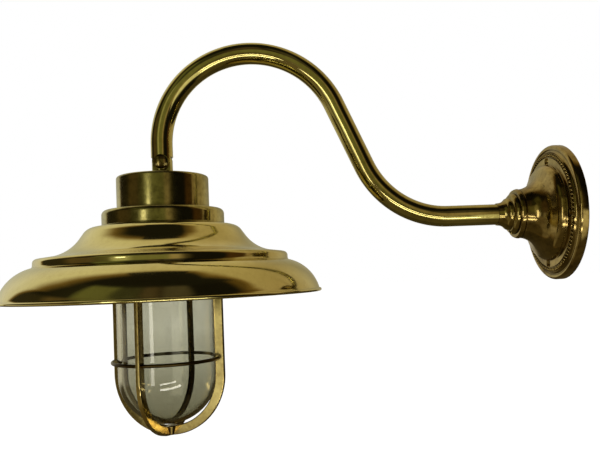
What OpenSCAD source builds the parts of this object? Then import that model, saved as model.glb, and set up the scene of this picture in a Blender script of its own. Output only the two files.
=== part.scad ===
// Swan-neck bulkhead wall light in brass, with a spun shade, a glass dome and a ribbed guard.
// Millimetres. The wall is the plane y = 0, the lamp hangs towards -Y, and +Z is up.
// The origin is the centre of the wall rose's back face.

/* [Swan neck] */
// Outside diameter of the bent tube
tube_d = 19; // [17:0.5:21]
// Wall thickness of the tube
tube_wall = 1.5; // [1:0.25:2]
// Distance from the wall to the lamp's own axis
arm_reach = 360; // [340:5:420]
// Centre-line radius of the lower bend
low_bend_r = 82; // [70:1:100]
// Angle that the tube climbs at between its two bends
rise_angle = 66; // [60:1:74]
// Length of the straight climb between the two bends
rise_len = 62; // [50:1:76]
// Centre-line radius of the hook over the lamp
hook_r = 81; // [74:1:90]
// Straight tail of the tube below the hook
hook_tail = 4.6; // [4.6:0.2:16]

/* [Wall rose] */
// Outside diameter of the rose
rose_d = 124; // [120:1:136]
// Height of the flat band that takes the screws, above the wall
band_h = 10.4; // [9:0.2:13]
// Diameter of the bell at its foot
bell_d = 88; // [82:1:90]
// Radius of the bell's rounded shoulder
shoulder_r = 7.5; // [6:0.5:10]
// Radius of the hollow flare below the neck
flare_r = 21; // [19:0.5:23]
// Diameter of the neck above the flare
neck_d = 45; // [43:0.2:50]
// Wall thickness of the casting
rose_wall = 3; // [2.5:0.25:4]
// Diameter of the circle through the screw holes
screw_pcd = 94.4; // [93.6:0.2:96]
// Diameter of each screw hole
screw_hole_d = 5.5; // [4.5:0.25:6]
// Turn of the screw holes about the rose's axis
screw_turn = -5; // [-45:1:45]
// Number of ribs in the beaded ring
bead_count = 90; // [60:2:110]

/* [Knuckle] */
// Thickness of the tongue that turns between the two cheeks
tongue_t = 10; // [9:0.25:10.5]
// Diameter of the stub that stands on the cap
stub_d = 18; // [16.5:0.25:18.5]
// Bore that the lamp lead passes through
lead_bore_d = 5.2; // [4.8:0.1:5.6]
// Diameter of the lead's round sheath
lead_d = 4.4; // [4:0.1:4.6]
// Height of the pivot above the top of the cap
pivot_rise = 12.5; // [12:0.25:16]

/* [Housing] */
// Outside diameter of the cap
cap_d = 79.4; // [76:0.2:82]
// Height of the cap that shows above the collar
cap_h = 28; // [24:0.5:34]
// Wall thickness of the cap
cap_wall = 2.5; // [2:0.25:3.5]
// Outside diameter of the collar
collar_d = 105; // [102:1:112]
// Height of the collar's straight side
collar_h = 12; // [10:0.5:18]
// Height of the sloping shoulder between collar and cap
slope_h = 4; // [3:0.5:8]
// Outside diameter of the collar's threaded spigot
spigot_d = 94; // [93:0.5:95]
// Length of the spigot below the shade
spigot_len = 21.5; // [20:0.5:30]

/* [Shade] */
// Thickness of the spun sheet
sheet_t = 1.2; // [0.8:0.1:1.6]
// Width of the flat top, measured from the axis to the start of the shoulder
top_flat_r = 58; // [56:0.5:62]
// Radius of the rounded shoulder at the top
top_shoulder_r = 11.5; // [9:0.5:13]
// Radius of the hollow sweep below the shoulder
sweep_r = 35; // [30:1:40]
// Width of the nearly flat ledge
ledge_w = 10; // [7:0.5:14]
// Radius of the bead at the ledge's edge
ledge_bead_r = 3.5; // [2.5:0.25:4.5]
// Radius of the swelling skirt
skirt_r = 36; // [32:1:42]
// Thickness of the rolled rim
rim_d = 3; // [2.6:0.2:4]

/* [Glass and guard] */
// Outside diameter of the glass
glass_d = 85; // [82:0.5:86]
// Wall thickness of the glass
glass_wall = 3; // [2.5:0.25:4]
// Distance from the underside of the collar to the centre of the glass's round end
glass_drop = 129; // [118:1:150]
// Gap between the glass and the guard's bars
guard_gap = 2; // [2:0.25:3]
// Depth of each guard bar, measured from the axis outwards
bar_depth = 8; // [6:0.25:9]
// Width of each guard bar
bar_w = 3.8; // [3:0.2:6]
// Turn of the guard's bars about the lamp's axis
guard_turn = -19; // [-45:1:45]
// Diameter of the guard's wire ring
wire_d = 3; // [2.4:0.2:3.6]
// Distance from the underside of the collar to the wire ring
wire_drop = 116; // [95:1:120]

/* [Lampholder] */
// Diameter of the porcelain body
holder_d = 42; // [40:0.5:50]
// Height of the porcelain body
holder_h = 44; // [42:0.5:50]
// Inside diameter of the threaded shell
shell_d = 26.6; // [26:0.1:27.5]
// Length of the threaded shell
shell_len = 24; // [20:0.5:28]

/* [Hidden] */
$fn = 96;

// Clearances
running_fit = 0.05;
seat_gap = 0.3;
cut = 1;
run_lap = 1;
run_proud = 0.02;

// Arm
tube_r = tube_d / 2;
tube_in_r = tube_r - tube_wall;
lead_r = lead_d / 2;
arm_start = arm_reach - low_bend_r * sin(rise_angle) - rise_len * cos(rise_angle)
    - hook_r * (1 + sin(rise_angle));
rise_y = arm_start + low_bend_r * sin(rise_angle);
rise_z = low_bend_r * (1 - cos(rise_angle));
hook_y = arm_reach - hook_r;
hook_z = rise_z + rise_len * sin(rise_angle) - hook_r * cos(rise_angle);

// Knuckle
pivot_screw_r = 2;
stub_r = stub_d / 2;
cheek_r = 7;
tongue_top_r = stub_r;
fork_roof_r = tongue_top_r + seat_gap;
head_tilt = 30;
tilt_room = stub_r * sin(head_tilt) + seat_gap;
spot_x = tube_r - 2.5;
pivot_head_r = 6.2;
fork_body_h = fork_roof_r + 2.4;
pivot_z = hook_z - hook_tail - fork_body_h;
spigot_up = hook_tail - 0.4;

// Heights below the pivot
cap_top = -pivot_rise;
slope_top = cap_top - cap_h;
collar_top = slope_top - slope_h;
collar_foot = collar_top - collar_h;
shade_top = collar_foot;

// Rose
rim_bead_r = 2.6;
rim_edge_h = 5.5;
bead_h = 1.6;
bead_in_r = screw_pcd / 2 + 3.8;
bead_out_r = bead_in_r + 3.4;
bead_seat_h = band_h - 0.8;
shoulder_sweep = 66;
flare_end = 186;
flare_start = 180 + shoulder_sweep;
shoulder_c = [bell_d / 2 - shoulder_r, band_h + 1];
flare_cx = neck_d / 2 - flare_r * cos(flare_end);
shoulder_end = shoulder_c + shoulder_r * [cos(shoulder_sweep), sin(shoulder_sweep)];
flare_foot_r = flare_cx + flare_r * cos(flare_start);
flare_foot_h = shoulder_end[1] + (shoulder_end[0] - flare_foot_r) / tan(shoulder_sweep);
flare_c = [flare_cx, flare_foot_h - flare_r * sin(flare_start)];
bulge_foot = flare_c[1] + flare_r * sin(flare_end) + 0.8;
bulge_h = 4.8;
neck_top = bulge_foot + bulge_h;
socket_depth = 10.5;
socket_r = 12;
rose_roof = neck_top - socket_depth;
rose_under = band_h - rose_wall - 0.9;
rim_in_r = rose_d / 2 - 6;

// Ferrule
nose_r = tube_r + 0.8;
ferrule_len = 16.4;
tube_stop = 1.4;
tube_seat = neck_top + tube_stop;
ferrule_bore_r = tube_in_r - 0.4;
grub_r = 2;
grub_at = neck_top + 3.2;

// Housing
stub_thread_r = 6;
cap_r = cap_d / 2;
cap_top_t = 3;
collar_r = collar_d / 2;
spigot_r = spigot_d / 2;
spigot_in_r = spigot_r - 6;
stub_thread_end = cap_top - cap_top_t - 5.5;
cap_foot = collar_top - 1;
cap_seat = cap_foot - 1.5;
spigot_foot = collar_foot - spigot_len;
washer_t = 1;
nut_h = 5;
nut_r = spigot_r + 8;

// Lampholder
strap_t = 2;
strap_top = cap_top - 20.5;
post_x = 26;
strap_screw_r = 1.75;
holder_screw_x = 14;
holder_screw_r = 1.5;
shell_out_r = shell_d / 2 + 0.7;
well_r = 9;
well_roof_t = 9;

// Glass and guard
glass_r = glass_d / 2;
gasket_t = 3;
flange_top = spigot_foot - gasket_t - seat_gap;
flange_t = 4;
flange_r = spigot_r - 0.2;
dome_z = collar_foot - glass_drop;
bar_in_r = glass_r + guard_gap;
bar_out_r = bar_in_r + bar_depth;
guard_bore_r = spigot_r + seat_gap;
guard_top = shade_top - sheet_t - washer_t - nut_h - 1;
ledge_top = flange_top - flange_t - seat_gap - 0.2;
ledge_foot = ledge_top - 4;
wire_z = collar_foot - wire_drop;
wire_ring_r = bar_in_r + wire_d / 2 + 0.6;

// Points along an arc, from angle a0 to a1 about c
function arc(c, r, a0, a1, n = 8) =
    [for (i = [0:n]) c + r * [cos(a0 + (a1 - a0) * i / n), sin(a0 + (a1 - a0) * i / n)]];

// Unit normal to the left of an open line of points, at point i
function left_normal(p, i) =
    let (a = p[max(i - 1, 0)], b = p[min(i + 1, len(p) - 1)], d = b - a)
    [-d[1], d[0]] / norm(d);

// The same line, moved sideways by t
function sideways(p, t) = [for (i = [0:len(p) - 1]) p[i] + t * left_normal(p, i)];

// The points of a list in the opposite order
function backwards(p) = [for (i = [len(p) - 1:-1:0]) p[i]];

// Revolved profiles and rings
module turned(points) {
    rotate_extrude() polygon(points);
}

module ring(r_out, r_in, z0, z1) {
    turned([[r_in, z0], [r_out, z0], [r_out, z1], [r_in, z1]]);
}

module from_wall() {
    rotate([90, 0, 0]) children();
}

module at_pivot() {
    translate([0, -arm_reach, pivot_z]) children();
}

// A round rod that follows the swan neck, from a distance off the wall to a tail below the hook.
// The straight runs are a hair thicker than the bends and lap into them.
module along_arm(start, r, tail = hook_tail) {
    run_r = r + run_proud;
    translate([0, -start, 0]) rotate([90, 0, 0]) cylinder(r = run_r, h = arm_start - start + run_lap);
    translate([0, -arm_start, low_bend_r]) rotate([0, 90, 180])
        rotate_extrude(angle = rise_angle) translate([low_bend_r, 0]) circle(r);
    translate([0, -rise_y, rise_z]) rotate([90 - rise_angle, 0, 0]) translate([0, 0, -run_lap])
        cylinder(r = run_r, h = rise_len + 2 * run_lap);
    translate([0, -hook_y, hook_z]) rotate([90, 0, -90])
        rotate_extrude(angle = 90 + rise_angle) translate([hook_r, 0]) circle(r);
    translate([0, -arm_reach, hook_z - tail]) cylinder(r = run_r, h = tail + run_lap);
}

// Wall rose
rim_line = concat(
    [[rose_d / 2, 0]],
    arc([rose_d / 2 - rim_bead_r, rim_edge_h], rim_bead_r, 0, 150)
);
cove_r = bead_seat_h - rim_edge_h - 1.4;
cove_line = arc([bead_out_r + 0.4 + cove_r, bead_seat_h], cove_r, -90, -180, 6);
band_line = [
    [bead_in_r - 0.4, bead_seat_h], [bead_in_r - 0.7, band_h],
    [bell_d / 2 + 1.2, band_h], [bell_d / 2, band_h + 0.8]
];
bell_line = concat(
    arc(shoulder_c, shoulder_r, 0, shoulder_sweep),
    arc(flare_c, flare_r, flare_start, flare_end)
);
bulge_line = concat(
    [[neck_d / 2 - 0.4, bulge_foot]],
    arc([neck_d / 2 - 7, bulge_foot + 0.4], 7.4, 6, 34, 6),
    [[neck_d / 2 - 3, neck_top]]
);

module bead_ring() {
    step = 360 / bead_count;
    tooth = function (i, r, share) r * [cos((i + share) * step), sin((i + share) * step)];
    crown = [for (i = [0:bead_count - 1]) each [
        tooth(i, bead_in_r + 0.7, 0), tooth(i, bead_out_r, 0.12),
        tooth(i, bead_out_r, 0.5), tooth(i, bead_in_r + 0.7, 0.62)
    ]];
    translate([0, 0, bead_seat_h - 0.4]) linear_extrude(bead_h + 0.4) difference() {
        polygon(crown);
        circle(bead_in_r);
    }
}

module rose_cavity() {
    inner_r = shoulder_r - rose_wall;
    hollow_r = flare_r + rose_wall - 0.6;
    hollow_end = 180 + asin((flare_c[1] - rose_roof) / hollow_r);
    turned(concat(
        [[0, -cut], [rim_in_r, -cut], [rim_in_r, rose_under]],
        [[bell_d / 2 - rose_wall, rose_under]],
        arc(shoulder_c, inner_r, 0, shoulder_sweep, 5),
        arc(flare_c, hollow_r, flare_start, hollow_end, 8),
        [[0, rose_roof]]
    ));
}

module screw_hole() {
    sink_r = min(screw_hole_d * 0.67, 3.7);
    sink_h = sink_r - screw_hole_d / 2;
    translate([0, 0, -cut]) cylinder(d = screw_hole_d, h = band_h + 2 * cut);
    translate([0, 0, band_h - sink_h]) cylinder(r1 = screw_hole_d / 2, r2 = sink_r, h = sink_h);
    translate([0, 0, band_h - 0.01]) cylinder(r = sink_r, h = cut);
}

earth_at = [20, 20];
earth_face = 10;
block_pillar = [4, -19];
block_face = 18.5;

module wall_rose() {
    color("darkgoldenrod") from_wall() difference() {
        union() {
            difference() {
                turned(concat(rim_line, cove_line, band_line, bell_line, bulge_line,
                    [[0, neck_top], [0, 0]]));
                rose_cavity();
            }
            bead_ring();
            intersection() {
                union() {
                    translate([earth_at[0], earth_at[1], earth_face]) cylinder(r = 4, h = neck_top);
                    translate([block_pillar[0], block_pillar[1], block_face])
                        cylinder(r = 3.5, h = neck_top);
                }
                turned(concat(
                    [[0, 0], [bell_d / 2 - 1, 0]],
                    arc(shoulder_c, shoulder_r - 1, 0, shoulder_sweep, 5),
                    [[flare_foot_r - 1, flare_foot_h - 1.5], [neck_d / 2 - 3, rose_roof + 1], [0, rose_roof + 1]]
                ));
            }
        }
        for (i = [0:3])
            rotate(screw_turn + 90 * i) translate([screw_pcd / 2, 0, 0]) screw_hole();
        translate([0, 0, rose_roof - cut]) cylinder(r = socket_r + running_fit, h = socket_depth + 2 * cut);
        translate([earth_at[0], earth_at[1], earth_face - cut]) cylinder(r = 2 + running_fit, h = 8 + cut);
        translate([block_pillar[0], block_pillar[1], block_face - cut])
            cylinder(r = 1.5 + running_fit, h = 4 + cut);
    }
}

// Ferrule between rose and tube: a threaded spigot below, two turned steps and a long nose
module neck_ferrule() {
    step_r = neck_d / 2 - 3.7;
    mid_r = (step_r + nose_r) / 2;
    line = concat(
        [[socket_r, -socket_depth + 0.3], [socket_r, 0]],
        arc([step_r - 4.2, 0.3], 4.2, 0, 72, 5),
        [[mid_r + 0.7, 4.5], [mid_r + 0.1, 4.9]],
        arc([mid_r - 4, 5.3], 4.2, 0, 66, 5),
        [[nose_r + 2.3, 9], [nose_r + 2, 9.4], [nose_r + 0.9, 11.2]],
        [[nose_r + 0.2, 13], [nose_r, ferrule_len - 0.5], [nose_r - 0.5, ferrule_len]]
    );
    color("goldenrod") from_wall() translate([0, 0, neck_top]) difference() {
        turned(concat([[0, -socket_depth + 0.3]], line, [[0, ferrule_len]]));
        translate([0, 0, tube_stop - 0.2]) cylinder(r = tube_r + running_fit, h = ferrule_len);
        translate([0, 0, -socket_depth]) cylinder(r = ferrule_bore_r, h = socket_depth + 2 * cut);
        translate([0, 0, grub_at - neck_top]) rotate([90, 0, 0])
            cylinder(r = grub_r + running_fit, h = step_r + cut);
    }
}

// Grub screw on the underside that locks the tube in the ferrule
module ferrule_grub_screw() {
    length = 5.6;
    color("dimgray") from_wall() translate([0, -tube_r - running_fit, grub_at]) rotate([90, 0, 0])
        difference() {
            cylinder(r = grub_r, h = length);
            translate([0, 0, length - 1.6]) cylinder(r = 1.1, h = 2, $fn = 6);
        }
}

module swan_neck_tube() {
    color("goldenrod") difference() {
        along_arm(tube_seat, tube_r);
        along_arm(tube_seat - cut, tube_in_r, hook_tail + cut);
    }
}

// Fork at the end of the arm: a plug in the tube, a round body and two cheeks
module arm_fork() {
    slot_w = tongue_t + 2 * seat_gap;
    color("darkgoldenrod") at_pivot() difference() {
        union() {
            cylinder(r = tube_r, h = fork_body_h);
            translate([0, 0, fork_body_h - cut]) cylinder(r = tube_in_r - running_fit, h = spigot_up + cut);
            intersection() {
                translate([0, 0, -tube_r]) cylinder(r = tube_r, h = 2 * tube_r);
                rotate([0, 90, 0]) cylinder(r = cheek_r, h = 2 * tube_r + 2, center = true);
            }
        }
        intersection() {
            translate([-slot_w / 2, -tube_d, -tube_d]) cube([slot_w, 2 * tube_d, tube_d + fork_roof_r]);
            union() {
                rotate([0, 90, 0]) cylinder(r = fork_roof_r, h = tube_d, center = true);
                translate([-tube_d, -tube_d, -2 * tube_d])
                    cube([2 * tube_d, 2 * tube_d, 2 * tube_d + tilt_room]);
            }
        }
        cylinder(r = lead_bore_d / 2, h = fork_body_h + hook_tail + cut);
        for (side = [-1, 1]) facing(side) {
            rotate([0, 90, 0]) cylinder(r = pivot_screw_r + 0.5 + running_fit, h = tube_d);
            translate([spot_x, 0, 0]) rotate([0, 90, 0]) cylinder(r = pivot_head_r + seat_gap, h = tube_d);
        }
    }
}

// Turns what faces +X to face -X on the negative side
module facing(side) {
    rotate([0, 0, side > 0 ? 0 : 180]) children();
}

// Two short screws, one in each cheek, whose plain tips are the pivot
module pivot_screws() {
    tip = tongue_t / 2 - 1.9;
    head_r = pivot_head_r;
    head_h = 2.6;
    dome_r = (head_r * head_r + head_h * head_h) / (2 * head_h);
    color("goldenrod") at_pivot() for (side = [-1, 1]) facing(side) difference() {
        union() {
            translate([tip, 0, 0]) rotate([0, 90, 0]) cylinder(r = pivot_screw_r, h = spot_x - tip);
            translate([tongue_t / 2 + seat_gap, 0, 0]) rotate([0, 90, 0])
                cylinder(r = pivot_screw_r + 0.5, h = spot_x - tongue_t / 2 - seat_gap);
            intersection() {
                translate([spot_x, 0, 0]) rotate([0, 90, 0]) cylinder(r = head_r, h = head_h);
                translate([spot_x + head_h - dome_r, 0, 0]) sphere(r = dome_r);
            }
        }
        translate([spot_x + head_h - 0.9, -head_r - cut, -0.5]) cube([cut, 2 * head_r + 2 * cut, 1]);
    }
}

// Rubber bush where the lead leaves the ferrule inside the rose
module rose_bush() {
    bush_r = ferrule_bore_r - running_fit;
    color("black") from_wall() translate([0, 0, rose_roof]) difference() {
        union() {
            cylinder(r = bush_r, h = 8);
            translate([0, 0, -2]) cylinder(r = bush_r + 2.6, h = 2);
        }
        translate([0, 0, -3]) cylinder(r = lead_r + running_fit, h = 12);
    }
}

block_w = 26;
block_d = 12;
block_top = -10;
block_foot = -25;
way_pitch = 8;

// Three-way connector that joins the lamp lead to the wall's cable
module terminal_block() {
    color("ivory") from_wall() difference() {
        translate([-block_w / 2, block_foot, block_face - block_d])
            cube([block_w, block_top - block_foot, block_d]);
        for (i = [-1:1]) {
            translate([i * way_pitch, block_foot - cut, block_face - block_d / 2]) rotate([-90, 0, 0])
                cylinder(r = 1.6, h = 6 + cut);
            translate([i * way_pitch, block_foot + 3.5, block_face - block_d - cut])
                cylinder(r = 1.8, h = block_d / 2 + cut);
        }
        translate([block_pillar[0], block_pillar[1], 0]) cylinder(r = 1.5 + running_fit, h = block_face + cut);
    }
}

module slotted_screw(r, length, head_r, head_h) {
    difference() {
        union() {
            translate([0, 0, -length]) cylinder(r = r, h = length);
            cylinder(r = head_r, h = head_h);
        }
        translate([-head_r - cut, -0.35, head_h - 0.7]) cube([2 * head_r + 2 * cut, 0.7, cut]);
    }
}

module terminal_screws() {
    color("silver") from_wall() {
        for (i = [-1:1]) translate([i * way_pitch, block_foot + 3.5, block_face - block_d + 2.4])
            rotate([180, 0, 0]) slotted_screw(1.2, 3, 1.7, 1.4);
        translate([block_pillar[0], block_pillar[1], block_face - block_d]) rotate([180, 0, 0])
            slotted_screw(1.5, block_d + 3.5, 2.8, 1.6);
    }
}

module earth_screw() {
    color("goldenrod") from_wall() translate([earth_at[0], earth_at[1], earth_face])
        rotate([180, 0, 0]) slotted_screw(2, 7, 3.6, 2);
}

// Lamp lead inside the arm, from the top of the connector to the fork
module arm_lead() {
    turn_r = -block_top - 2;
    turn_at = block_face - block_d / 2 + turn_r;
    color("white") {
        along_arm(turn_at, lead_r, hook_tail + fork_body_h - fork_roof_r - seat_gap);
        translate([0, -turn_at, -turn_r]) rotate([0, -90, 0]) rotate_extrude(angle = 90)
            translate([turn_r, 0]) circle(lead_r);
        translate([0, turn_r - turn_at, block_top]) cylinder(r = lead_r + run_proud, h = 2 + run_lap);
    }
}

// Stub on the cap: a round foot, a rounded tongue between the cheeks, and a spigot through the cap
module cap_stub() {
    shoulder = -cheek_r - 0.4;
    color("goldenrod") at_pivot() difference() {
        union() {
            translate([0, 0, cap_top]) cylinder(r = stub_r, h = shoulder - cap_top);
            translate([0, 0, cap_top]) cylinder(r1 = stub_r + 0.8, r2 = stub_r, h = 1.2);
            intersection() {
                translate([0, 0, shoulder - cut]) cylinder(r = stub_r, h = stub_d * 2);
                translate([-tongue_t / 2, -stub_d, shoulder - cut]) cube([tongue_t, 2 * stub_d, 2 * stub_d]);
                union() {
                    rotate([0, 90, 0]) cylinder(r = tongue_top_r, h = stub_d, center = true);
                    translate([-stub_d, -stub_d, -2 * stub_d]) cube([2 * stub_d, 2 * stub_d, 2 * stub_d]);
                }
            }
            translate([0, 0, stub_thread_end]) cylinder(r = stub_thread_r, h = cap_top - stub_thread_end + cut);
        }
        translate([0, 0, stub_thread_end - cut]) cylinder(r = lead_bore_d / 2, h = 4 * stub_d);
        rotate([0, 90, 0]) cylinder(r = pivot_screw_r + running_fit, h = stub_d * 2, center = true);
    }
}

module stub_locknut() {
    color("goldenrod") at_pivot() translate([0, 0, cap_top - cap_top_t - 4]) difference() {
        cylinder(r = 10.5, h = 4, $fn = 6);
        translate([0, 0, -cut]) cylinder(r = stub_thread_r + running_fit, h = 4 + 2 * cut);
    }
}

// Turned cap with a closed top and two cast posts that carry the lampholder's strap
module housing_cap() {
    edge_r = 2.4;
    color("goldenrod") at_pivot() difference() {
        union() {
            turned(concat(
                [[0, cap_top - cap_top_t], [cap_r - cap_wall, cap_top - cap_top_t], [cap_r - cap_wall, cap_foot]],
                [[cap_r, cap_foot]],
                arc([cap_r - edge_r, cap_top - edge_r], edge_r, 0, 90, 6),
                [[0, cap_top]]
            ));
            for (side = [-1, 1]) translate([side * post_x, 0, strap_top]) cylinder(r = 4, h = cap_top - strap_top - 1);
        }
        translate([0, 0, cap_top - cap_top_t - cut]) cylinder(r = stub_thread_r + running_fit, h = cap_top_t + 2 * cut);
        for (side = [-1, 1]) translate([side * post_x, 0, strap_top - cut])
            cylinder(r = strap_screw_r + running_fit, h = 9 + cut);
    }
}

module cap_gasket() {
    color("black") at_pivot() ring(cap_r - 0.2, cap_r - 3.2, cap_seat, cap_foot);
}

// Collar: a ledge for the cap, a sloping shoulder, a straight side with a fine lip, and the spigot
module housing_collar() {
    corner_r = 4.5;
    lip = 0.7;
    color("darkgoldenrod") at_pivot() turned(concat(
        [[cap_r + running_fit, cap_seat], [cap_r + running_fit, slope_top]],
        arc([collar_r - corner_r, collar_top - 1.8], corner_r, 62, 0, 6),
        [[collar_r, collar_foot + 1.5], [collar_r + lip, collar_foot + 1.1], [collar_r + lip, collar_foot + 0.3]],
        [[collar_r + lip - 0.3, collar_foot], [spigot_r, collar_foot], [spigot_r, spigot_foot]],
        [[spigot_in_r, spigot_foot], [spigot_in_r, cap_seat - 5], [cap_r - 3.2, cap_seat - 4]],
        [[cap_r - 3.2, cap_seat]]
    ));
}

// Spun shade: flat top, shoulder, hollow sweep, ledge with a bead, swelling skirt and a rolled rim
sweep_start = 55;
sweep_end = 8;
skirt_from = 15;
skirt_to = 75;
shoulder_stop = 90 - sweep_start;
shade_shoulder = arc([top_flat_r, -top_shoulder_r], top_shoulder_r, 90, shoulder_stop, 8);
shoulder_foot = shade_shoulder[8] + 5.9 * [cos(sweep_start), -sin(sweep_start)];
sweep_c = shoulder_foot + sweep_r * [sin(sweep_start), cos(sweep_start)];
shade_sweep = arc(sweep_c, sweep_r, 270 - sweep_start, 270 - sweep_end, 8);
ledge_end = shade_sweep[8] + ledge_w * [cos(sweep_end), -sin(sweep_end)];
ledge_bead_c = ledge_end - ledge_bead_r * [sin(sweep_end), cos(sweep_end)];
shade_bead = arc(ledge_bead_c, ledge_bead_r, 90 - sweep_end, 4, 6);
bead_foot = shade_bead[6] + [0.1, -3.4];
skirt_top = bead_foot + [1.5, -0.8];
skirt_c = skirt_top - skirt_r * [sin(skirt_from), cos(skirt_from)];
shade_skirt = arc(skirt_c, skirt_r, 90 - skirt_from, 90 - skirt_to, 12);
rim_c = shade_skirt[12] + [0.5, -rim_d / 2 - 0.3];
shade_line = concat(
    [[spigot_r + seat_gap, 0]], shade_shoulder, shade_sweep, shade_bead, [bead_foot],
    shade_skirt, [rim_c + [0.4, 0]]
);

module spun_shade() {
    color("gold") at_pivot() translate([0, 0, shade_top]) union() {
        turned(concat(shade_line, backwards(sideways(shade_line, -sheet_t))));
        rotate_extrude() translate(rim_c) circle(d = rim_d, $fn = 24);
    }
}

module shade_washer() {
    color("saddlebrown") at_pivot()
        ring(nut_r - 0.6, spigot_r + seat_gap, shade_top - sheet_t - washer_t, shade_top - sheet_t);
}

// Slotted ring nut that pulls the shade up against the collar
module shade_ring_nut() {
    top = shade_top - sheet_t - washer_t;
    color("goldenrod") at_pivot() difference() {
        ring(nut_r, spigot_r + running_fit, top - nut_h, top);
        for (i = [0:3]) rotate(45 + 90 * i) translate([nut_r - 2.5, -2, top - nut_h - cut]) cube([5, 4, 3 + cut]);
    }
}

// Pressed steel strap under the cap's two posts
module holder_strap() {
    strap_l = 2 * post_x + 12;
    color("silver") at_pivot() translate([0, 0, strap_top - strap_t]) difference() {
        translate([-strap_l / 2, -7, 0]) cube([strap_l, 14, strap_t]);
        translate([0, 0, -cut]) cylinder(r = lead_bore_d / 2 + 1, h = strap_t + 2 * cut);
        for (side = [-1, 1]) {
            translate([side * post_x, 0, -cut]) cylinder(r = strap_screw_r + 0.2, h = strap_t + 2 * cut);
            translate([side * holder_screw_x, 0, -cut]) cylinder(r = holder_screw_r + 0.2, h = strap_t + 2 * cut);
        }
    }
}

module strap_screws() {
    color("silver") at_pivot() for (side = [-1, 1])
        translate([side * post_x, 0, strap_top - strap_t]) rotate([180, 0, 0])
            slotted_screw(strap_screw_r, strap_t + 8, 3.4, 2.2);
}

// Porcelain body, open below, with a narrower well above for the centre contact
module porcelain_holder() {
    top = strap_top - strap_t;
    color("white") at_pivot() difference() {
        turned([
            [0, top], [holder_d / 2 - 3, top], [holder_d / 2, top - 3], [holder_d / 2, top - holder_h + 6],
            [holder_d / 2 - 2, top - holder_h], [0, top - holder_h]
        ]);
        translate([0, 0, top - holder_h - cut]) cylinder(r = shell_out_r + running_fit, h = shell_len + 3 + cut);
        translate([0, 0, top - holder_h]) cylinder(r = well_r, h = holder_h - well_roof_t);
        translate([0, 0, top - well_roof_t - cut]) cylinder(r = lead_bore_d / 2, h = well_roof_t + 2 * cut);
        for (side = [-1, 1]) translate([side * holder_screw_x, 0, top - 9])
            cylinder(r = holder_screw_r + running_fit, h = 9 + cut);
    }
}

module holder_screws() {
    color("silver") at_pivot() for (side = [-1, 1])
        translate([side * holder_screw_x, 0, strap_top]) slotted_screw(holder_screw_r, strap_t + 8, 2.9, 2);
}

module threaded_shell() {
    foot = strap_top - strap_t - holder_h + 3;
    color("goldenrod") at_pivot() ring(shell_out_r, shell_d / 2, foot, foot + shell_len);
}

// Bent strip under the roof of the well that presses on the lamp's centre
module centre_contact() {
    roof = strap_top - strap_t - well_roof_t;
    strip_t = 0.6;
    line = [[-7, 0], [7, 0], [7, -2], [1, -6.5], [-4, -6.5]];
    color("goldenrod") at_pivot() translate([0, 2.5, roof]) difference() {
        rotate([90, 0, 0]) linear_extrude(5) polygon(concat(line, backwards(sideways(line, -strip_t))));
        translate([0, -2.5, -cut]) cylinder(r = lead_bore_d / 2 - 0.6, h = 2 * cut);
    }
}

// Lamp lead inside the head, from the tongue to the well of the lampholder
module head_lead() {
    foot = strap_top - strap_t - well_roof_t;
    color("white") at_pivot() translate([0, 0, foot]) cylinder(r = lead_r, h = tongue_top_r - 0.4 - foot);
}

module glass_gasket() {
    color("black") at_pivot() ring(spigot_r - 0.2, spigot_in_r + 0.2, spigot_foot - gasket_t, spigot_foot);
}

// Blown glass jar with a pressed flange and a round end
module glass_dome() {
    in_r = glass_r - glass_wall;
    color("lightgray", 0.4) at_pivot() turned(concat(
        [[in_r, flange_top], [flange_r - 0.8, flange_top], [flange_r, flange_top - 0.8]],
        [[flange_r, flange_top - flange_t], [glass_r, flange_top - flange_t - 0.2]],
        arc([0, dome_z], glass_r, 0, -90, 18),
        arc([0, dome_z], in_r, -90, 0, 18)
    ));
}

// Guard: a threaded collar with an inner ledge, two crossed hoops and a round boss below
module guard_cage() {
    boss_r = 7.5;
    color("darkgoldenrod") at_pivot() difference() {
        union() {
            turned([
                [bar_out_r + 0.3, ledge_foot], [bar_out_r + 0.3, guard_top + 1], [bar_out_r - 0.4, guard_top],
                [guard_bore_r, guard_top], [guard_bore_r, ledge_top], [glass_r + 0.8, ledge_top],
                [glass_r + 0.8, ledge_foot]
            ]);
            for (turn = [0, 90]) rotate(guard_turn + turn) rotate([90, 0, 0])
                translate([0, 0, -bar_w / 2]) linear_extrude(bar_w) hoop();
            intersection() {
                translate([0, 0, dome_z - bar_out_r]) cylinder(r = boss_r, h = bar_depth + 1);
                difference() {
                    translate([0, 0, dome_z]) sphere(r = bar_out_r);
                    translate([0, 0, dome_z]) sphere(r = bar_in_r);
                }
            }
        }
        translate([0, 0, wire_z]) rotate_extrude() translate([wire_ring_r, 0])
            circle(r = wire_d / 2 + running_fit);
    }
}

module hoop() {
    difference() {
        union() {
            translate([0, dome_z]) circle(bar_out_r);
            translate([-bar_out_r, dome_z]) square([2 * bar_out_r, ledge_foot + 1 - dome_z]);
        }
        translate([0, dome_z]) circle(bar_in_r);
        translate([-bar_in_r, dome_z]) square([2 * bar_in_r, ledge_foot + 2 - dome_z]);
    }
}

module guard_wire_ring() {
    color("saddlebrown") at_pivot() translate([0, 0, wire_z]) rotate_extrude()
        translate([wire_ring_r, 0]) circle(d = wire_d);
}

wall_rose();
neck_ferrule();
ferrule_grub_screw();
swan_neck_tube();
arm_fork();
pivot_screws();
rose_bush();
terminal_block();
terminal_screws();
earth_screw();
arm_lead();
cap_stub();
stub_locknut();
housing_cap();
cap_gasket();
housing_collar();
spun_shade();
shade_washer();
shade_ring_nut();
holder_strap();
strap_screws();
porcelain_holder();
holder_screws();
threaded_shell();
centre_contact();
head_lead();
glass_gasket();
glass_dome();
guard_cage();
guard_wire_ring();
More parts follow.
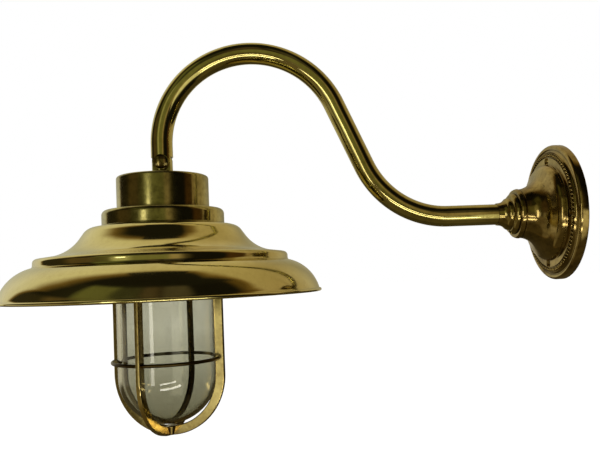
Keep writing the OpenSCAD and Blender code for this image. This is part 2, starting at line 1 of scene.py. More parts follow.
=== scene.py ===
"""A brass swan-neck wall light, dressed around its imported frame.

Sizes are in millimetres in each piece's own frame, and a placing matrix brings them to the row frame, which
is in metres. The wall is y = 0, the lamp hangs towards -Y, and +Z is up. Heights in the head count from the
knuckle's pivot.
"""

import logging
import math
from dataclasses import dataclass
from enum import Enum
from typing import Optional, Sequence

import bmesh
import bpy
from mathutils import Matrix, Quaternion, Vector

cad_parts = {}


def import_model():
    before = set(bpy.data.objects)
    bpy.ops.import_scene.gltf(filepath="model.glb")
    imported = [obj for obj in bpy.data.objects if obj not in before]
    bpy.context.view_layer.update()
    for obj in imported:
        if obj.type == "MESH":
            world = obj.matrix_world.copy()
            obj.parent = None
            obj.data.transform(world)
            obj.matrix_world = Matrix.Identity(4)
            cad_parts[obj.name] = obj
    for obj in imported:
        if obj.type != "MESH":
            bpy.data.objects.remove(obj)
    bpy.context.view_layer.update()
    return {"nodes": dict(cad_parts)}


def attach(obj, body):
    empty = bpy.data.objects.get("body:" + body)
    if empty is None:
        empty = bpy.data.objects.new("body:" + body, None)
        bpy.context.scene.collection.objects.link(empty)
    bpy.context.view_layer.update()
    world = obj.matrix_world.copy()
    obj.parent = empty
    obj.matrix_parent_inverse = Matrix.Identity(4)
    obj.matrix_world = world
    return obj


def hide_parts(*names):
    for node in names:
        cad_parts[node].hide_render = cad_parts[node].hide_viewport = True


LOG = logging.getLogger("wall_light")
MM = 0.001
REACH = 360.0
PIVOT_Z = 56.042
FULL_TURN = 2.0 * math.pi
SIDE_SPAN = 260.0
SHARP_EDGE = math.radians(50.0)
Point = tuple[float, float]
Colour = tuple[float, float, float]
Mesh = bmesh.types.BMesh
Edges = list[bmesh.types.BMEdge]
Socket = bpy.types.NodeSocket


class Body(Enum):
    """The rigid bodies of the frame."""

    ARM = "arm"
    HEAD = "head"
    GUARD = "guard"
    GLASS = "glass"


class Grain(Enum):
    """How the polishing lines run on a brass piece."""

    TURNED_UPRIGHT = "round the lamp's axis"
    TURNED_OFF_WALL = "round the rose's axis"
    CAST = "cast skin"
    SMOOTH = "no lines"


def turned(axis: str, degrees: float) -> Matrix:
    """The matrix of a turn round X, Y or Z."""
    return Matrix.Rotation(math.radians(degrees), 4, axis)


def shifted(x: float, y: float, z: float) -> Matrix:
    """The matrix of a move."""
    return Matrix.Translation((x, y, z))


def head_place() -> Matrix:
    """The matrix that takes the head's millimetres to the row frame."""
    return Matrix.Translation(Vector((0.0, -REACH, PIVOT_Z)) * MM) @ Matrix.Scale(MM, 4)


def wall_place(offset: float = 0.0) -> Matrix:
    """The matrix for pieces that stand off the wall.

    Args:
        offset: distance off the wall of the piece's own zero.

    Returns:
        A matrix that turns +Z off the wall and scales millimetres to metres.
    """
    turn = turned("X", 90.0)
    return Matrix.Scale(MM, 4) @ shifted(0.0, -offset, 0.0) @ turn


def row_place() -> Matrix:
    """The matrix for pieces drawn in the row frame, in millimetres."""
    return Matrix.Scale(MM, 4)


# Shading

class NodeTree:
    """A small builder for the nodes of a material or a world."""

    def __init__(self, tree: bpy.types.NodeTree) -> None:
        """Starts on an existing tree."""
        self.tree = tree

    def add(self, kind: str, **settings: object) -> bpy.types.Node:
        """Adds a node.

        Args:
            kind: the node's type.
            settings: properties to set on it.

        Returns:
            The new node.
        """
        node = self.tree.nodes.new(kind)
        for key, value in settings.items():
            setattr(node, key, value)
        return node

    def join(self, source: Socket, target: Socket) -> None:
        """Links one socket to another."""
        self.tree.links.new(source, target)

    def feed(self, source: object, target: Socket) -> None:
        """Gives an input its link, its colour or its number.

        Args:
            source: a socket to link, a colour, or a number.
            target: the input.
        """
        if isinstance(source, Socket):
            self.join(source, target)
        elif isinstance(source, tuple):
            target.default_value = (*source, 1.0)
        else:
            target.default_value = float(source)

    def sums(self, operation: str, *values: object) -> Socket:
        """A Math node.

        Args:
            operation: the Math node's operation.
            values: numbers or sockets.

        Returns:
            The result's socket.
        """
        node = self.add("ShaderNodeMath", operation=operation)
        for value, target in zip(values, node.inputs):
            self.feed(value, target)
        return node.outputs[0]

    def spread(self, value: Socket, low: float, high: float, to_low: float, to_high: float) -> Socket:
        """Maps a range of values onto another, clamped.

        Args:
            value: the socket to map.
            low: start of the range read.
            high: end of the range read.
            to_low: result at the start.
            to_high: result at the end.

        Returns:
            The mapped socket.
        """
        node = self.add("ShaderNodeMapRange")
        for name, number in zip(("From Min", "From Max", "To Min", "To Max"), (low, high, to_low, to_high)):
            node.inputs[name].default_value = number
        self.join(value, node.inputs["Value"])
        return node.outputs["Result"]

    def fade(self, value: Socket, start: float, end: float) -> Socket:
        """A smooth step.

        Args:
            value: the socket to map.
            start: where the result is 0.
            end: where the result is 1.

        Returns:
            The mapped socket.
        """
        node = self.add("ShaderNodeMapRange", interpolation_type="SMOOTHSTEP")
        node.inputs["From Min"].default_value = start
        node.inputs["From Max"].default_value = end
        self.join(value, node.inputs["Value"])
        return node.outputs["Result"]

    def blend(self, share: Socket, first: object, second: object) -> Socket:
        """Mixes two colours.

        Args:
            share: how much of the second colour shows.
            first: a colour or a socket.
            second: a colour or a socket.

        Returns:
            The mixed colour's socket.
        """
        node = self.add("ShaderNodeMix", data_type="RGBA")
        self.join(share, node.inputs["Factor"])
        self.feed(first, node.inputs[6])
        self.feed(second, node.inputs[7])
        return node.outputs[2]

    def ramp(self, value: Socket, stops: Sequence[tuple[float, Colour]]) -> Socket:
        """A colour ramp.

        Args:
            value: the socket it reads, from 0 to 1.
            stops: pairs of a place and the colour there.

        Returns:
            The colour's socket.
        """
        node = self.add("ShaderNodeValToRGB")
        band = node.color_ramp
        while len(band.elements) < len(stops):
            band.elements.new(0.5)
        for element, (place, tone) in zip(band.elements, stops):
            element.position = place
            element.color = (*tone, 1.0)
        self.join(value, node.inputs[0])
        return node.outputs[0]


class Shader(NodeTree):
    """The node tree of one new material."""

    def __init__(self, name: str) -> None:
        """Makes the material by its name."""
        self.material = bpy.data.materials.new(name)
        self.material.use_nodes = True
        super().__init__(self.material.node_tree)
        self.surface = self.tree.nodes["Principled BSDF"]

    def place(self, scale: Sequence[float], move: Sequence[float] = (0.0, 0.0, 0.0)) -> Socket:
        """Object coordinates, moved and scaled.

        Args:
            scale: scale along each axis.
            move: what is subtracted first, in metres.

        Returns:
            The vector socket.
        """
        coords = self.add("ShaderNodeTexCoord")
        shift = self.add("ShaderNodeVectorMath", operation="SUBTRACT")
        shift.inputs[1].default_value = move
        grow = self.add("ShaderNodeVectorMath", operation="MULTIPLY")
        grow.inputs[1].default_value = scale
        self.join(coords.outputs["Object"], shift.inputs[0])
        self.join(shift.outputs[0], grow.inputs[0])
        return grow.outputs[0]

    def round_axis(self, centre: Sequence[float], along_y: bool) -> Socket:
        """Coordinates that are constant round a turning axis.

        Args:
            centre: a point on the axis, in metres.
            along_y: True where the axis runs along Y, False where it is upright.

        Returns:
            A vector of distance from the axis and distance along it.
        """
        placed = self.place((1.0, 1.0, 1.0), centre)
        split = self.add("ShaderNodeSeparateXYZ")
        self.join(placed, split.inputs[0])
        across, along = (("X", "Z"), "Y") if along_y else (("X", "Y"), "Z")
        squares = [self.sums("POWER", self.sums("ABSOLUTE", split.outputs[axis]), 2.0) for axis in across]
        radius = self.sums("SQRT", self.sums("ADD", squares[0], squares[1]))
        made = self.add("ShaderNodeCombineXYZ")
        self.join(radius, made.inputs[0])
        self.join(split.outputs[along], made.inputs[1])
        return made.outputs[0]

    def noise(self, vector: Socket, scale: float, detail: float = 3.0, rough: float = 0.5) -> Socket:
        """A noise pattern from 0 to 1.

        Args:
            vector: where it is read.
            scale: cells per unit.
            detail: octaves.
            rough: how strong the finer octaves are.

        Returns:
            The factor socket.
        """
        node = self.add("ShaderNodeTexNoise")
        node.inputs["Scale"].default_value = scale
        node.inputs["Detail"].default_value = detail
        node.inputs["Roughness"].default_value = rough
        self.join(vector, node.inputs["Vector"])
        return node.outputs["Fac"]

    def recess(self, distance: float) -> Socket:
        """How open a spot is, from 0 in a deep corner to 1 in the open.

        Args:
            distance: how far the corner reaches, in metres.

        Returns:
            The factor socket.
        """
        node = self.add("ShaderNodeAmbientOcclusion", samples=8)
        node.inputs["Distance"].default_value = distance
        return node.outputs["AO"]

    def relief(self, *layers: tuple[Socket, float]) -> None:
        """Stacks bump layers onto the surface.

        Args:
            layers: pairs of a height socket and its depth in metres.
        """
        normal: Optional[Socket] = None
        for height, depth in layers:
            bump = self.add("ShaderNodeBump")
            bump.inputs["Strength"].default_value = 1.0
            bump.inputs["Distance"].default_value = depth
            self.join(height, bump.inputs["Height"])
            if normal is not None:
                self.join(normal, bump.inputs["Normal"])
            normal = bump.outputs["Normal"]
        if normal is not None:
            self.join(normal, self.surface.inputs["Normal"])


@dataclass(frozen=True)
class BrassFinish:
    """Polished brass with a thin tarnish and fine polishing lines."""

    name: str
    metal: Colour = (0.70, 0.62, 0.27)
    tarnish: Colour = (0.36, 0.27, 0.08)
    share: float = 0.45
    polish: float = 0.07
    dull: float = 0.20
    grain: Grain = Grain.TURNED_UPRIGHT
    ripple: float = 0.00035
    # How strongly recesses are darkened: painted shade together with grime.
    recess_grime_and_shade: float = 0.6

    def make(self) -> bpy.types.Material:
        """Builds the material.

        Returns:
            The finished material.
        """
        shader = Shader(self.name)
        surface = shader.surface
        surface.inputs["Metallic"].default_value = 1.0
        plain = shader.place((1.0, 1.0, 1.0))
        cloud = shader.noise(plain, 16.0, 4.0, 0.6)
        mottle = shader.noise(plain, 210.0, 5.0, 0.65)
        stain = shader.sums(
            "ADD", shader.spread(cloud, 0.38, 0.62, 0.0, 0.65),
            shader.spread(mottle, 0.45, 0.68, 0.0, 0.35))
        share = shader.sums("MULTIPLY", stain, self.share)
        toned = shader.blend(share, self.metal, self.tarnish)
        # Painted shade with grime: recesses found by ambient occlusion are darkened towards near-black brown.
        corner = shader.spread(shader.recess(0.004), 0.25, 0.95, self.recess_grime_and_shade, 0.0)
        shader.join(shader.blend(corner, toned, (0.05, 0.03, 0.008)), surface.inputs["Base Color"])
        wave = shader.noise(plain, 26.0, 1.0, 0.4)
        if self.grain in (Grain.CAST, Grain.SMOOTH):
            lines = shader.noise(plain, 320.0, 3.0, 0.6)
            line_depth = 0.000010 if self.grain is Grain.CAST else 0.0
        else:
            off_wall = self.grain is Grain.TURNED_OFF_WALL
            centre = (0.0, 0.0, 0.0) if off_wall else (0.0, -REACH * MM, 0.0)
            lines = shader.noise(shader.round_axis(centre, off_wall), 2600.0, 3.0, 0.7)
            line_depth = 0.0000025
        worn = shader.sums(
            "ADD", shader.spread(cloud, 0.35, 0.7, self.polish, self.dull),
            shader.spread(lines, 0.5, 0.8, 0.0, 0.07))
        shader.join(worn, surface.inputs["Roughness"])
        layers = [(wave, self.ripple)]
        if line_depth > 0.0:
            layers.append((lines, line_depth))
        shader.relief(*layers)
        return shader.material


@dataclass(frozen=True)
class GlassFinish:
    """Clear pressed glass with a faint tint that darkens towards the bottom, and slow waves."""

    name: str
    tint: Colour = (0.665, 0.66, 0.56)
    bottom_tone: Colour = (0.36, 0.35, 0.25)
    clear_above: float = -0.090
    darkest_below: float = -0.178

    def make(self) -> bpy.types.Material:
        """Builds the material.

        Returns:
            The finished material.
        """
        shader = Shader(self.name)
        surface = shader.surface
        surface.inputs["Transmission Weight"].default_value = 1.0
        surface.inputs["IOR"].default_value = 1.56
        plain = shader.place((1.0, 1.0, 1.0))
        film = shader.spread(shader.noise(plain, 45.0, 4.0, 0.6), 0.45, 0.8, 0.0, 0.5)
        split = shader.add("ShaderNodeSeparateXYZ")
        shader.join(plain, split.inputs[0])
        # The glass colour darkens towards the bottom of the jar.
        depth = shader.spread(split.outputs["Z"], self.clear_above, self.darkest_below, 0.0, 1.0)
        clouded = shader.blend(film, self.tint, (0.57, 0.56, 0.45))
        shader.join(shader.blend(depth, clouded, self.bottom_tone), surface.inputs["Base Color"])
        shader.join(shader.spread(film, 0.0, 0.5, 0.015, 0.06), surface.inputs["Roughness"])
        shader.relief((shader.noise(plain, 22.0, 1.0, 0.4), 0.00025))
        return shader.material


@dataclass(frozen=True)
class MouldedFinish:
    """A non-metal: glazed porcelain, rubber, plastic or pressed fibre."""

    name: str
    colour: Colour
    stain: Colour
    rough: tuple[float, float] = (0.4, 0.6)
    grain_scale: float = 500.0
    grain_depth: float = 0.00003
    coat: float = 0.0

    def make(self) -> bpy.types.Material:
        """Builds the material.

        Returns:
            The finished material.
        """
        shader = Shader(self.name)
        surface = shader.surface
        surface.inputs["Coat Weight"].default_value = self.coat
        surface.inputs["Coat Roughness"].default_value = 0.06
        plain = shader.place((1.0, 1.0, 1.0))
        cloud = shader.noise(plain, 70.0, 4.0, 0.6)
        grain = shader.noise(plain, self.grain_scale, 3.0, 0.6)
        toned = shader.blend(shader.spread(cloud, 0.4, 0.75, 0.0, 0.8), self.colour, self.stain)
        # Painted shade with grime: corners found by ambient occlusion are darkened towards a deep stain
        # colour.
        corner = shader.spread(shader.recess(0.003), 0.3, 0.95, 0.45, 0.0)
        shader.join(
            shader.blend(corner, toned, tuple(0.35 * c for c in self.stain)), surface.inputs["Base Color"])
        shader.join(shader.spread(grain, 0.3, 0.7, *self.rough), surface.inputs["Roughness"])
        shader.relief((grain, self.grain_depth))
        return shader.material


@dataclass(frozen=True)
class SteelFinish:
    """Zinc-plated steel, slightly dulled, with drawn lines along X."""

    name: str
    colour: Colour = (0.60, 0.60, 0.57)

    def make(self) -> bpy.types.Material:
        """Builds the material.

        Returns:
            The finished material.
        """
        shader = Shader(self.name)
        surface = shader.surface
        surface.inputs["Metallic"].default_value = 1.0
        plain = shader.place((1.0, 1.0, 1.0))
        drawn = shader.noise(shader.place((60.0, 2200.0, 2200.0)), 1.0, 3.0, 0.6)
        cloud = shader.noise(plain, 120.0, 4.0, 0.6)
        toned = shader.blend(shader.spread(cloud, 0.4, 0.7, 0.0, 0.6), self.colour, (0.42, 0.40, 0.34))
        shader.join(toned, surface.inputs["Base Color"])
        shader.join(shader.spread(drawn, 0.3, 0.7, 0.22, 0.42), surface.inputs["Roughness"])
        shader.relief((drawn, 0.000006))
        return shader.material


class Finishes:
    """Every finish of the light."""

    def __init__(self) -> None:
        """Builds all the materials."""
        self.head_brass = BrassFinish(
            "turned_brass_head", metal=(0.53, 0.47, 0.19), tarnish=(0.13, 0.11, 0.03), share=1.0, polish=0.09,
            dull=0.22, ripple=0.00025).make()
        self.shade_brass = BrassFinish(
            "spun_brass", share=0.4, polish=0.05, dull=0.15, ripple=0.0004, recess_grime_and_shade=0.5).make()
        self.arm_brass = BrassFinish(
            "drawn_brass_tube", metal=(0.60, 0.53, 0.20), tarnish=(0.24, 0.19, 0.05), share=0.75, polish=0.05,
            dull=0.14, grain=Grain.SMOOTH, ripple=0.0006).make()
        self.turned_arm = BrassFinish(
            "turned_brass_ferrule", metal=(
                0.52, 0.42, 0.15), tarnish=(0.18, 0.12, 0.03), share=0.9, polish=0.06,
            dull=0.16, grain=Grain.TURNED_OFF_WALL, recess_grime_and_shade=0.95).make()
        self.screw_brass = BrassFinish(
            "browned_brass_screw", metal=(0.30, 0.24, 0.09), tarnish=(
                0.08, 0.05, 0.015), share=0.9, polish=0.08,
            dull=0.20, grain=Grain.SMOOTH, recess_grime_and_shade=0.95).make()
        self.rose_brass = BrassFinish(
            "cast_brass_rose", metal=(0.50, 0.38, 0.14), tarnish=(0.12, 0.075, 0.018), share=1.0, polish=0.05,
            dull=0.19, grain=Grain.CAST, ripple=0.0006, recess_grime_and_shade=0.95).make()
        self.guard_brass = BrassFinish(
            "cast_brass_guard", metal=(0.62, 0.50, 0.20), tarnish=(0.20, 0.12, 0.03), share=0.9, polish=0.06,
            dull=0.20, grain=Grain.CAST, ripple=0.0004, recess_grime_and_shade=0.8).make()
        self.brown_wire = BrassFinish(
            "browned_brass_wire", metal=(0.10, 0.07, 0.025), tarnish=(
                0.04, 0.025, 0.010), share=0.8, polish=0.22,
            dull=0.42, grain=Grain.CAST, recess_grime_and_shade=0.6).make()
        self.contact_brass = BrassFinish("contact_brass", grain=Grain.CAST, share=0.3, ripple=0.0001).make()
        self.glass = GlassFinish("clear_glass").make()
        self.rubber = MouldedFinish(
            "black_rubber", (0.035, 0.034, 0.032), (0.06, 0.058, 0.054), (0.55, 0.8)).make()
        self.porcelain = MouldedFinish(
            "glazed_porcelain", (0.86, 0.85, 0.80), (0.78, 0.76, 0.69), (0.12, 0.2), 160.0, 0.00002,
            0.6).make()
        self.ivory = MouldedFinish(
            "ivory_plastic", (0.80, 0.75, 0.62), (0.72, 0.66, 0.52), (0.35, 0.55)).make()
        self.sheath = MouldedFinish(
            "white_sheath", (0.80, 0.80, 0.77), (0.70, 0.69, 0.64), (0.4, 0.55), 260.0).make()
        self.core_brown = MouldedFinish("brown_core", (0.20, 0.09, 0.04), (0.15, 0.07, 0.03)).make()
        self.core_blue = MouldedFinish("blue_core", (0.04, 0.12, 0.36), (0.03, 0.09, 0.28)).make()
        self.core_green = MouldedFinish("green_core", (0.08, 0.30, 0.08), (0.10, 0.24, 0.06)).make()
        self.fibre = MouldedFinish(
            "pressed_fibre", (0.30, 0.13, 0.07), (0.22, 0.09, 0.05), (0.6, 0.8), 700.0, 0.00006).make()
        self.steel = SteelFinish("zinc_steel").make()


# Modelling

class Outline:
    """A profile in the X-Z plane, walked from point to point with extrude and spin."""

    def __init__(self, x: float, z: float) -> None:
        """Starts the walk at one point."""
        self.mesh = bmesh.new()
        self.first = self.mesh.verts.new((x, 0.0, z))
        self.tip = self.first

    def to(self, *points: Point) -> "Outline":
        """Walks straight to each point in turn.

        Args:
            points: the points, each as distance from the axis and height.

        Returns:
            The outline itself.
        """
        for x, z in points:
            made = bmesh.ops.extrude_vert_indiv(self.mesh, verts=[self.tip])
            self.tip = made["verts"][0]
            self.tip.co = (x, 0.0, z)
        return self

    def arc(self, centre: Point, radius: float, start: float, end: float, steps: int = 12) -> "Outline":
        """Walks to an arc's start and then along it.

        Args:
            centre: the arc's centre.
            radius: its radius.
            start: its first angle in degrees, from +X towards +Z.
            end: its last angle.
            steps: how many straight steps it takes.

        Returns:
            The outline itself.
        """
        angle = math.radians(start)
        self.to((centre[0] + radius * math.cos(angle), centre[1] + radius * math.sin(angle)))
        made = bmesh.ops.spin(
            self.mesh, geom=[self.tip], cent=(centre[0], 0.0, centre[1]), axis=(0.0, -1.0, 0.0),
            angle=math.radians(end - start), steps=steps, use_merge=False, use_duplicate=False)
        self.tip = next(item for item in made["geom_last"] if isinstance(item, bmesh.types.BMVert))
        return self

    def closed(self) -> "Outline":
        """Joins the last point to the first."""
        self.mesh.edges.new((self.tip, self.first))
        return self

    def lathe(self, steps: int = 144) -> Mesh:
        """Turns the outline round the Z axis.

        Args:
            steps: how many steps a full turn takes.

        Returns:
            The turned solid.
        """
        mesh = self.mesh
        bmesh.ops.remove_doubles(mesh, verts=mesh.verts[:], dist=0.004)
        bmesh.ops.spin(
            mesh, geom=mesh.verts[:] + mesh.edges[:], cent=(0.0, 0.0, 0.0), axis=(0.0, 0.0, 1.0),
            angle=FULL_TURN, steps=steps, use_merge=True, use_duplicate=False)
        bmesh.ops.remove_doubles(mesh, verts=mesh.verts[:], dist=0.0005)
        tidy(mesh)
        return mesh


def tidy(mesh: Mesh) -> None:
    """Points all faces outwards."""
    bmesh.ops.recalc_face_normals(mesh, faces=mesh.faces[:])


def round_ring(centre: Point, radius: float, steps: int) -> Mesh:
    """A ring of round section about the Z axis.

    Args:
        centre: its section's centre, as distance from the axis and height.
        radius: its section's radius.
        steps: how many steps a full turn takes.

    Returns:
        The ring.
    """
    return Outline(centre[0] + radius, centre[1]).arc(centre, radius, 0.0, 345.0, 23).closed().lathe(steps)


def drum(radius: float, low: float, high: float, edge: float = 0.0, steps: int = 64) -> Mesh:
    """A solid drum with rounded edges.

    Args:
        radius: its radius.
        low: height of its foot.
        high: height of its top.
        edge: radius of both edges.
        steps: how many sides it has.

    Returns:
        The drum.
    """
    mesh = bmesh.new()
    bmesh.ops.create_cone(
        mesh, cap_ends=True, cap_tris=False, segments=steps, radius1=radius, radius2=radius,
        depth=high - low, matrix=shifted(0.0, 0.0, (low + high) / 2.0))
    if edge > 0.0:
        rims = [e for e in mesh.edges if abs(e.verts[0].co.z - e.verts[1].co.z) < 1e-6]
        round_off(mesh, rims, edge)
    return mesh


def block(low: Sequence[float], high: Sequence[float], edge: float = 0.0) -> Mesh:
    """A box between two corners.

    Args:
        low: its lowest corner.
        high: its highest corner.
        edge: radius of all its edges.

    Returns:
        The box.
    """
    mesh = bmesh.new()
    size = [b - a for a, b in zip(low, high)]
    centre = [(a + b) / 2.0 for a, b in zip(low, high)]
    bmesh.ops.create_cube(mesh, size=1.0, matrix=Matrix.Translation(centre) @ Matrix.Diagonal((*size, 1.0)))
    if edge > 0.0:
        round_off(mesh, mesh.edges[:], edge)
    return mesh


def round_off(mesh: Mesh, edges: Edges, radius: float, steps: int = 3) -> None:
    """Rounds some edges.

    Args:
        mesh: the mesh they are in.
        edges: the edges.
        radius: how far the rounding reaches from each edge.
        steps: how many facets it has.
    """
    bmesh.ops.bevel(
        mesh, geom=edges, offset=radius, offset_type="OFFSET", segments=steps, profile=0.5,
        affect="EDGES", clamp_overlap=True, material=-1)


def sharp_edges(mesh: Mesh) -> Edges:
    """The edges where two faces meet at more than the sharp angle."""
    return [e for e in mesh.edges if len(e.link_faces) == 2 and e.calc_face_angle(0.0) > SHARP_EDGE]


def extruded(mesh: Mesh, loop: Edges) -> tuple[list[bmesh.types.BMVert], Edges]:
    """Extrudes an edge loop without moving it.

    Args:
        mesh: the mesh the loop is in.
        loop: the loop's edges.

    Returns:
        The new points and the new loop.
    """
    made = bmesh.ops.extrude_edge_only(mesh, edges=loop)["geom"]
    fresh = [item for item in made if isinstance(item, bmesh.types.BMVert)]
    return fresh, [e for e in made if isinstance(e, bmesh.types.BMEdge) and all(v in fresh for v in e.verts)]


def spun(
    mesh: Mesh, loop: Edges, centre: Sequence[float], axis: Sequence[float], angle: float, steps: int,
) -> Edges:
    """Spins an edge loop round an axis.

    Args:
        mesh: the mesh the loop is in.
        loop: the loop's edges.
        centre: a point on the axis.
        axis: the axis's direction.
        angle: how far it turns, in radians.
        steps: how many steps it takes.

    Returns:
        The last loop.
    """
    verts = list({vert for edge in loop for vert in edge.verts})
    made = bmesh.ops.spin(
        mesh, geom=verts + loop, cent=centre, axis=axis, angle=angle, steps=steps, use_merge=False,
        use_duplicate=False)
    return [item for item in made["geom_last"] if isinstance(item, bmesh.types.BMEdge)]


def capped(mesh: Mesh) -> Mesh:
    """Closes a mesh's open ends and points its faces outwards.

    Args:
        mesh: the open skin.

    Returns:
        The same mesh, as a solid.
    """
    bmesh.ops.holes_fill(mesh, edges=[e for e in mesh.edges if len(e.link_faces) == 1], sides=0)
    tidy(mesh)
    return mesh


def moved(mesh: Mesh, matrix: Matrix) -> Mesh:
    """Places a mesh by a matrix and returns it."""
    mesh.transform(matrix)
    return mesh


def gathered(*meshes: Mesh) -> Mesh:
    """Joins several meshes into the first one, as separate shells.

    Args:
        meshes: the meshes; all but the first are used up.

    Returns:
        The first mesh, with all shells.
    """
    base = meshes[0]
    for other in meshes[1:]:
        carrier = bpy.data.meshes.new("carrier")
        other.to_mesh(carrier)
        other.free()
        base.from_mesh(carrier)
        bpy.data.meshes.remove(carrier)
    return base


def combined(base: Mesh, other: Mesh, operation: str) -> Mesh:
    """Cuts, joins or intersects two solids.

    Args:
        base: the solid that is kept.
        other: the solid that cuts or joins it.
        operation: DIFFERENCE, UNION or INTERSECT.

    Returns:
        The resulting solid, in a new mesh.
    """
    pair = []
    for mesh in (base, other):
        tidy(mesh)
        data = bpy.data.meshes.new("carrier")
        mesh.to_mesh(data)
        mesh.free()
        carrier = bpy.data.objects.new("carrier", data)
        bpy.context.scene.collection.objects.link(carrier)
        pair.append(carrier)
    change = pair[0].modifiers.new("change", "BOOLEAN")
    change.operation = operation
    change.solver = "EXACT"
    change.object = pair[1]
    bpy.context.view_layer.update()
    graph = bpy.context.evaluated_depsgraph_get()
    made = bmesh.new()
    made.from_object(pair[0], graph)
    for carrier in pair:
        data = carrier.data
        bpy.data.objects.remove(carrier)
        bpy.data.meshes.remove(data)
    bmesh.ops.remove_doubles(made, verts=made.verts[:], dist=0.0005)
    bmesh.ops.dissolve_degenerate(made, edges=made.edges[:], dist=0.0004)
    tidy(made)
    return made


def thread_ridge(radius: float, depth: float, pitch: float, low: float, turns: float) -> Mesh:
    """A rounded helical ridge on a round wall.

    Args:
        radius: radius at the ridge's root.
        depth: how far it stands from the root, negative for an inside thread.
        pitch: its climb in one turn.
        low: height where it starts.
        turns: how many turns it makes.

    Returns:
        The ridge, closed at both ends.
    """
    mesh = bmesh.new()
    half = pitch * 0.36
    root = radius - 0.25 * math.copysign(1.0, depth)
    shape = [(root, low - half), (radius, low - half), (radius + depth, low - 0.25 * half),
             (radius + depth, low + 0.25 * half), (radius, low + half), (root, low + half)]
    loop = [mesh.verts.new((x, 0.0, z)) for x, z in shape]
    edges = [mesh.edges.new((loop[i], loop[(i + 1) % len(loop)])) for i in range(len(loop))]
    steps = int(48 * turns)
    climb = (0.0, 0.0, pitch * turns / steps)
    made = bmesh.ops.spin(
        mesh, geom=loop + edges, cent=(0.0, 0.0, 0.0), axis=(0.0, 0.0, 1.0), dvec=climb,
        angle=FULL_TURN * turns, steps=steps, use_merge=False, use_duplicate=False)
    last = [item for item in made["geom_last"] if isinstance(item, bmesh.types.BMEdge)]
    bmesh.ops.contextual_create(mesh, geom=edges)
    bmesh.ops.contextual_create(mesh, geom=last)
    tidy(mesh)
    return mesh


def wire(points: Sequence[Sequence[float]], radius: float, steps: int = 10) -> Mesh:
    """A thin round wire through some points, in the points' own frame.

    Args:
        points: places it passes through.
        radius: its radius.
        steps: how fine the run between two points is.

    Returns:
        The wire's solid.
    """
    curve = bpy.data.curves.new("run", "CURVE")
    curve.dimensions = "3D"
    curve.bevel_depth = radius
    curve.bevel_resolution = 3
    curve.resolution_u = steps
    curve.use_fill_caps = True
    spline = curve.splines.new("BEZIER")
    spline.bezier_points.add(len(points) - 1)
    for knot, point in zip(spline.bezier_points, points):
        knot.co = point
        knot.handle_left_type = "AUTO"
        knot.handle_right_type = "AUTO"
    holder = bpy.data.objects.new("run", curve)
    bpy.context.scene.collection.objects.link(holder)
    bpy.context.view_layer.update()
    data = bpy.data.meshes.new_from_object(holder.evaluated_get(bpy.context.evaluated_depsgraph_get()))
    mesh = bmesh.new()
    mesh.from_mesh(data)
    bpy.data.objects.remove(holder)
    bpy.data.meshes.remove(data)
    bpy.data.curves.remove(curve)
    bmesh.ops.remove_doubles(mesh, verts=mesh.verts[:], dist=0.0005)
    tidy(mesh)
    return mesh


@dataclass
class Piece:
    """One visible piece, from its solid to its place in the frame."""

    name: str
    mesh: Mesh
    place: Matrix
    body: Body
    finish: bpy.types.Material
    slot: str
    nodes: tuple[str, ...] = ()
    crease: float = 34.0

    def show(self) -> bpy.types.Object:
        """Makes the object, rides it on its body and hides the CAD nodes it stands for.

        Returns:
            The object in the scene.
        """
        self.mesh.transform(self.place)
        limit = math.radians(self.crease)
        for face in self.mesh.faces:
            face.smooth = True
        for edge in self.mesh.edges:
            edge.smooth = len(edge.link_faces) == 2 and edge.calc_face_angle(0.0) < limit
        data = bpy.data.meshes.new(self.name)
        self.mesh.to_mesh(data)
        self.mesh.free()
        data.materials.append(self.finish)
        made = bpy.data.objects.new(self.name, data)
        bpy.context.scene.collection.objects.link(made)
        weigh = made.modifiers.new("even_normals", "WEIGHTED_NORMAL")
        weigh.keep_sharp = True
        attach(made, self.body.value)
        if self.nodes:
            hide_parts(*self.nodes)
        LOG.info("%s: %d faces on %s", self.name, len(data.polygons), self.body.value)
        return made


def slotted_screw(shank: float, length: float, head: float, height: float, slot: float = 0.8) -> Mesh:
    """A screw with a rounded cheese head and a straight slot, its head's underside at zero.

    Args:
        shank: shank radius.
        length: shank length below the head.
        head: head radius.
        height: head height.
        slot: slot width.

    Returns:
        The screw, head up.
    """
    edge = height * 0.35
    body = (
        Outline(0.0, -length).to((shank - 0.3, -length), (shank, -length + 0.4), (shank, 0.0), (head, 0.0))
        .arc((head - edge, height - edge), edge, 0.0, 78.0, 6).to((0.0, height))
    ).lathe(40)
    cut = block((-head - 1.0, -slot / 2.0, height * 0.5), (head + 1.0, slot / 2.0, height + 1.0))
    return combined(body, cut, "DIFFERENCE")


# Sub-assemblies

@dataclass
class Assembly:
    """What every sub-assembly shares: the finishes, its body and its place in the frame."""

    finishes: Finishes
    body = Body.HEAD

    def placing(self) -> Matrix:
        """The matrix from the pieces' own millimetres to the row frame."""
        return head_place()

    def put(
        self, name: str, mesh: Mesh, finish: bpy.types.Material, slot: str, *nodes: str,
        crease: float = 34.0, body: Optional[Body] = None,
    ) -> None:
        """Shows one piece of the sub-assembly.

        Args:
            name: the piece's name.
            mesh: its solid, in the sub-assembly's own millimetres.
            finish: its material.
            slot: the record's material slot; not used.
            nodes: the CAD nodes that it replaces.
            crease: the angle from which an edge stays sharp, in degrees.
            body: its body where that isn't the sub-assembly's own.
        """
        Piece(name, mesh, self.placing(), body or self.body, finish, slot, nodes, crease).show()


